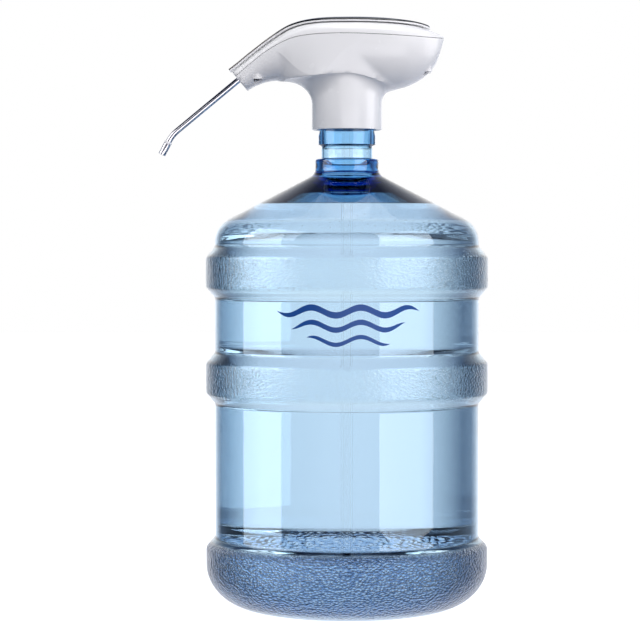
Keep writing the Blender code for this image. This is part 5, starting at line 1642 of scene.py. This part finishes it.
@dataclass
class Studio:
    """The floor, the soft lights, the world and the camera."""

    lens: float = 137.8
    camera_place: tuple[float, float, float] = (-0.026, -2.372, 0.357)
    tilt: float = math.radians(88.13)
    floor_size: float = 14.0
    surround: float = 1.22          # how bright the world is for everything but the camera

    def build_floor(self) -> None:
        """Lay a plain pale floor."""
        graph = Graph("studio_floor")
        place = graph.place()
        speck = graph.noise(place, 40.0, 3.0)
        graph.feed("Base Color", graph.tint(speck, (0.93, 0.93, 0.93), (0.95, 0.95, 0.95)))
        graph.feed("Normal", graph.bump(speck, 0.0002))
        graph.set(Roughness=0.9, Emission_Color=(1.0, 1.0, 1.0, 1.0), Emission_Strength=0.96)
        work = bmesh.new()
        bmesh.ops.create_grid(work, x_segments=8, y_segments=8, size=self.floor_size / 2)
        for vertex in work.verts:
            vertex.co.z = -0.0002
        mesh = bpy.data.meshes.new("studio_floor")
        work.to_mesh(mesh)
        work.free()
        mesh.materials.append(graph.material)
        floor = bpy.data.objects.new("studio_floor", mesh)
        bpy.context.scene.collection.objects.link(floor)
        floor.visible_transmission = False
        floor.visible_diffuse = False
        floor.visible_glossy = False

    def build_light(self, name: str, azimuth: float, height: float, distance: float, size: Pair,
                    power: float, lit: Sequence[bpy.types.Object] = (), aim: float = 0.50,
                    colour: Colour = (1.0, 1.0, 1.0)) -> None:
        """Hang a softbox that faces the object.

        Args:
            name: its name.
            azimuth: degrees from the camera's side, anticlockwise seen from above.
            height: its middle's height.
            distance: its distance from the origin.
            size: its width and height.
            power: its power, in watts.
            lit: the only pieces that it lights, or none for everything.
            aim: the height that it points at.
            colour: its light's colour.
        """
        light = bpy.data.lights.new(name, "AREA")
        light.color = colour
        light.shape = "RECTANGLE"
        light.size, light.size_y = size
        light.energy = power
        turn = math.radians(azimuth)
        place = Vector((distance * math.sin(turn), -distance * math.cos(turn), height))
        lamp = bpy.data.objects.new(name, light)
        lamp.location = place
        lamp.rotation_euler = (Vector((0.0, 0.0, aim)) - place).to_track_quat("-Z", "Y").to_euler()
        lamp.visible_camera = False
        bpy.context.scene.collection.objects.link(lamp)
        if lit:
            group = bpy.data.collections.new(name + "_lit")
            for piece in lit:
                group.objects.link(piece)
            lamp.light_linking.receiver_collection = group

    def build_world(self) -> None:
        """Set a white surround for the camera, and one that is bright only behind and below for the rest."""
        world = bpy.data.worlds.new("studio_world")
        bpy.context.scene.world = world
        world.use_nodes = True
        tree = world.node_tree
        tree.nodes.clear()
        links = tree.links
        where = tree.nodes.new("ShaderNodeTexCoord")
        split = tree.nodes.new("ShaderNodeSeparateXYZ")
        links.new(where.outputs["Generated"], split.inputs[0])
        shade = None
        for axis, stops in (("X", WORLD_ACROSS), ("Y", WORLD_DEPTH), ("Z", WORLD_HEIGHT)):
            share = tree.nodes.new("ShaderNodeMapRange")
            share.inputs["From Min"].default_value = -1.0
            ramp = tree.nodes.new("ShaderNodeValToRGB")
            self.fill_ramp(ramp.color_ramp, stops)
            links.new(split.outputs[axis], share.inputs["Value"])
            links.new(share.outputs["Result"], ramp.inputs[0])
            if shade is None:
                shade = ramp.outputs[0]
                continue
            both = tree.nodes.new("ShaderNodeMix")
            both.data_type = "RGBA"
            both.blend_type = "MULTIPLY"
            both.inputs[0].default_value = 1.0
            links.new(shade, both.inputs[6])
            links.new(ramp.outputs[0], both.inputs[7])
            shade = both.outputs[2]
        path = tree.nodes.new("ShaderNodeLightPath")
        seen = tree.nodes.new("ShaderNodeBackground")
        seen.inputs[0].default_value = (1.0, 1.0, 1.0, 1.0)
        unseen = tree.nodes.new("ShaderNodeBackground")
        unseen.inputs[1].default_value = self.surround
        mix = tree.nodes.new("ShaderNodeMixShader")
        output = tree.nodes.new("ShaderNodeOutputWorld")
        links.new(shade, unseen.inputs[0])
        links.new(path.outputs["Is Camera Ray"], mix.inputs[0])
        links.new(unseen.outputs[0], mix.inputs[1])
        links.new(seen.outputs[0], mix.inputs[2])
        links.new(mix.outputs[0], output.inputs[0])

    @staticmethod
    def fill_ramp(ramp: bpy.types.ColorRamp, stops: Sequence[tuple[float, Colour]]) -> None:
        """Set a colour ramp's stops."""
        while len(ramp.elements) > 1:
            ramp.elements.remove(ramp.elements[-1])
        ramp.elements[0].position, ramp.elements[0].color = stops[0][0], (*stops[0][1], 1.0)
        for position, colour in stops[1:]:
            ramp.elements.new(position).color = (*colour, 1.0)

    def build_camera(self) -> None:
        """Stand the camera in front of the object, a little above half height."""
        camera = bpy.data.cameras.new("camera")
        camera.lens = self.lens
        camera.sensor_width = 36.0
        camera.clip_end = 50.0
        stand = bpy.data.objects.new("camera", camera)
        stand.location = self.camera_place
        stand.rotation_euler = (self.tilt, 0.0, 0.0)
        bpy.context.scene.collection.objects.link(stand)
        bpy.context.scene.camera = stand

    def build(self) -> None:
        """Set the floor, the world and the camera."""
        self.build_floor()
        self.build_world()
        self.build_camera()
        bpy.context.scene.view_settings.view_transform = "Standard"

    def light(self, clear: Sequence[bpy.types.Object]) -> None:
        """Hang the lights: two for everything, two more for the bottle alone and four for all but the bottle.

        Args:
            clear: the bottle's pieces.
        """
        rest = [piece for piece in bpy.context.scene.objects if piece.type == "MESH" and piece not in clear]
        self.build_light("left_softbox", -70.0, 1.15, 1.7, (1.7, 1.2), 12.0, [*clear, *rest])
        self.build_light("right_softbox", 52.0, 1.15, 1.9, (1.8, 1.2), 10.0, [*clear, *rest])
        self.build_light("top_softbox", 10.0, 2.3, 0.6, (1.6, 1.6), 17.0, rest)
        self.build_light("left_band", -78.0, 0.55, 1.7, (1.3, 1.4), 12.0, clear, 0.55)
        self.build_light("right_band", 52.0, 0.55, 1.9, (1.8, 1.4), 15.0, clear, 0.55)
        self.build_light("head_key", 15.0, 1.9, 1.3, (1.6, 1.2), 14.0, rest, 0.50, (1.0, 0.985, 0.97))
        self.build_light("head_side", 84.0, 0.50, 1.5, (0.9, 0.9), 7.0, rest, 0.53, (1.0, 0.98, 1.0))
        self.build_light("head_fill", 10.0, 0.12, 1.5, (1.6, 0.5), 6.0, rest, 0.52, (1.0, 0.97, 1.0))


def main() -> None:
    logging.basicConfig(level=logging.INFO, format="%(message)s")
    studio = Studio()
    studio.build()
    finishes = Palette()
    bottle = Bottle(finishes)
    clear = bottle.build()
    head = Head(finishes, Hull(bottle.top))
    head.build()
    Spout(finishes, head).build()
    Inside(finishes).dress()
    studio.light(clear)


if __name__ == "__main__":
    main()
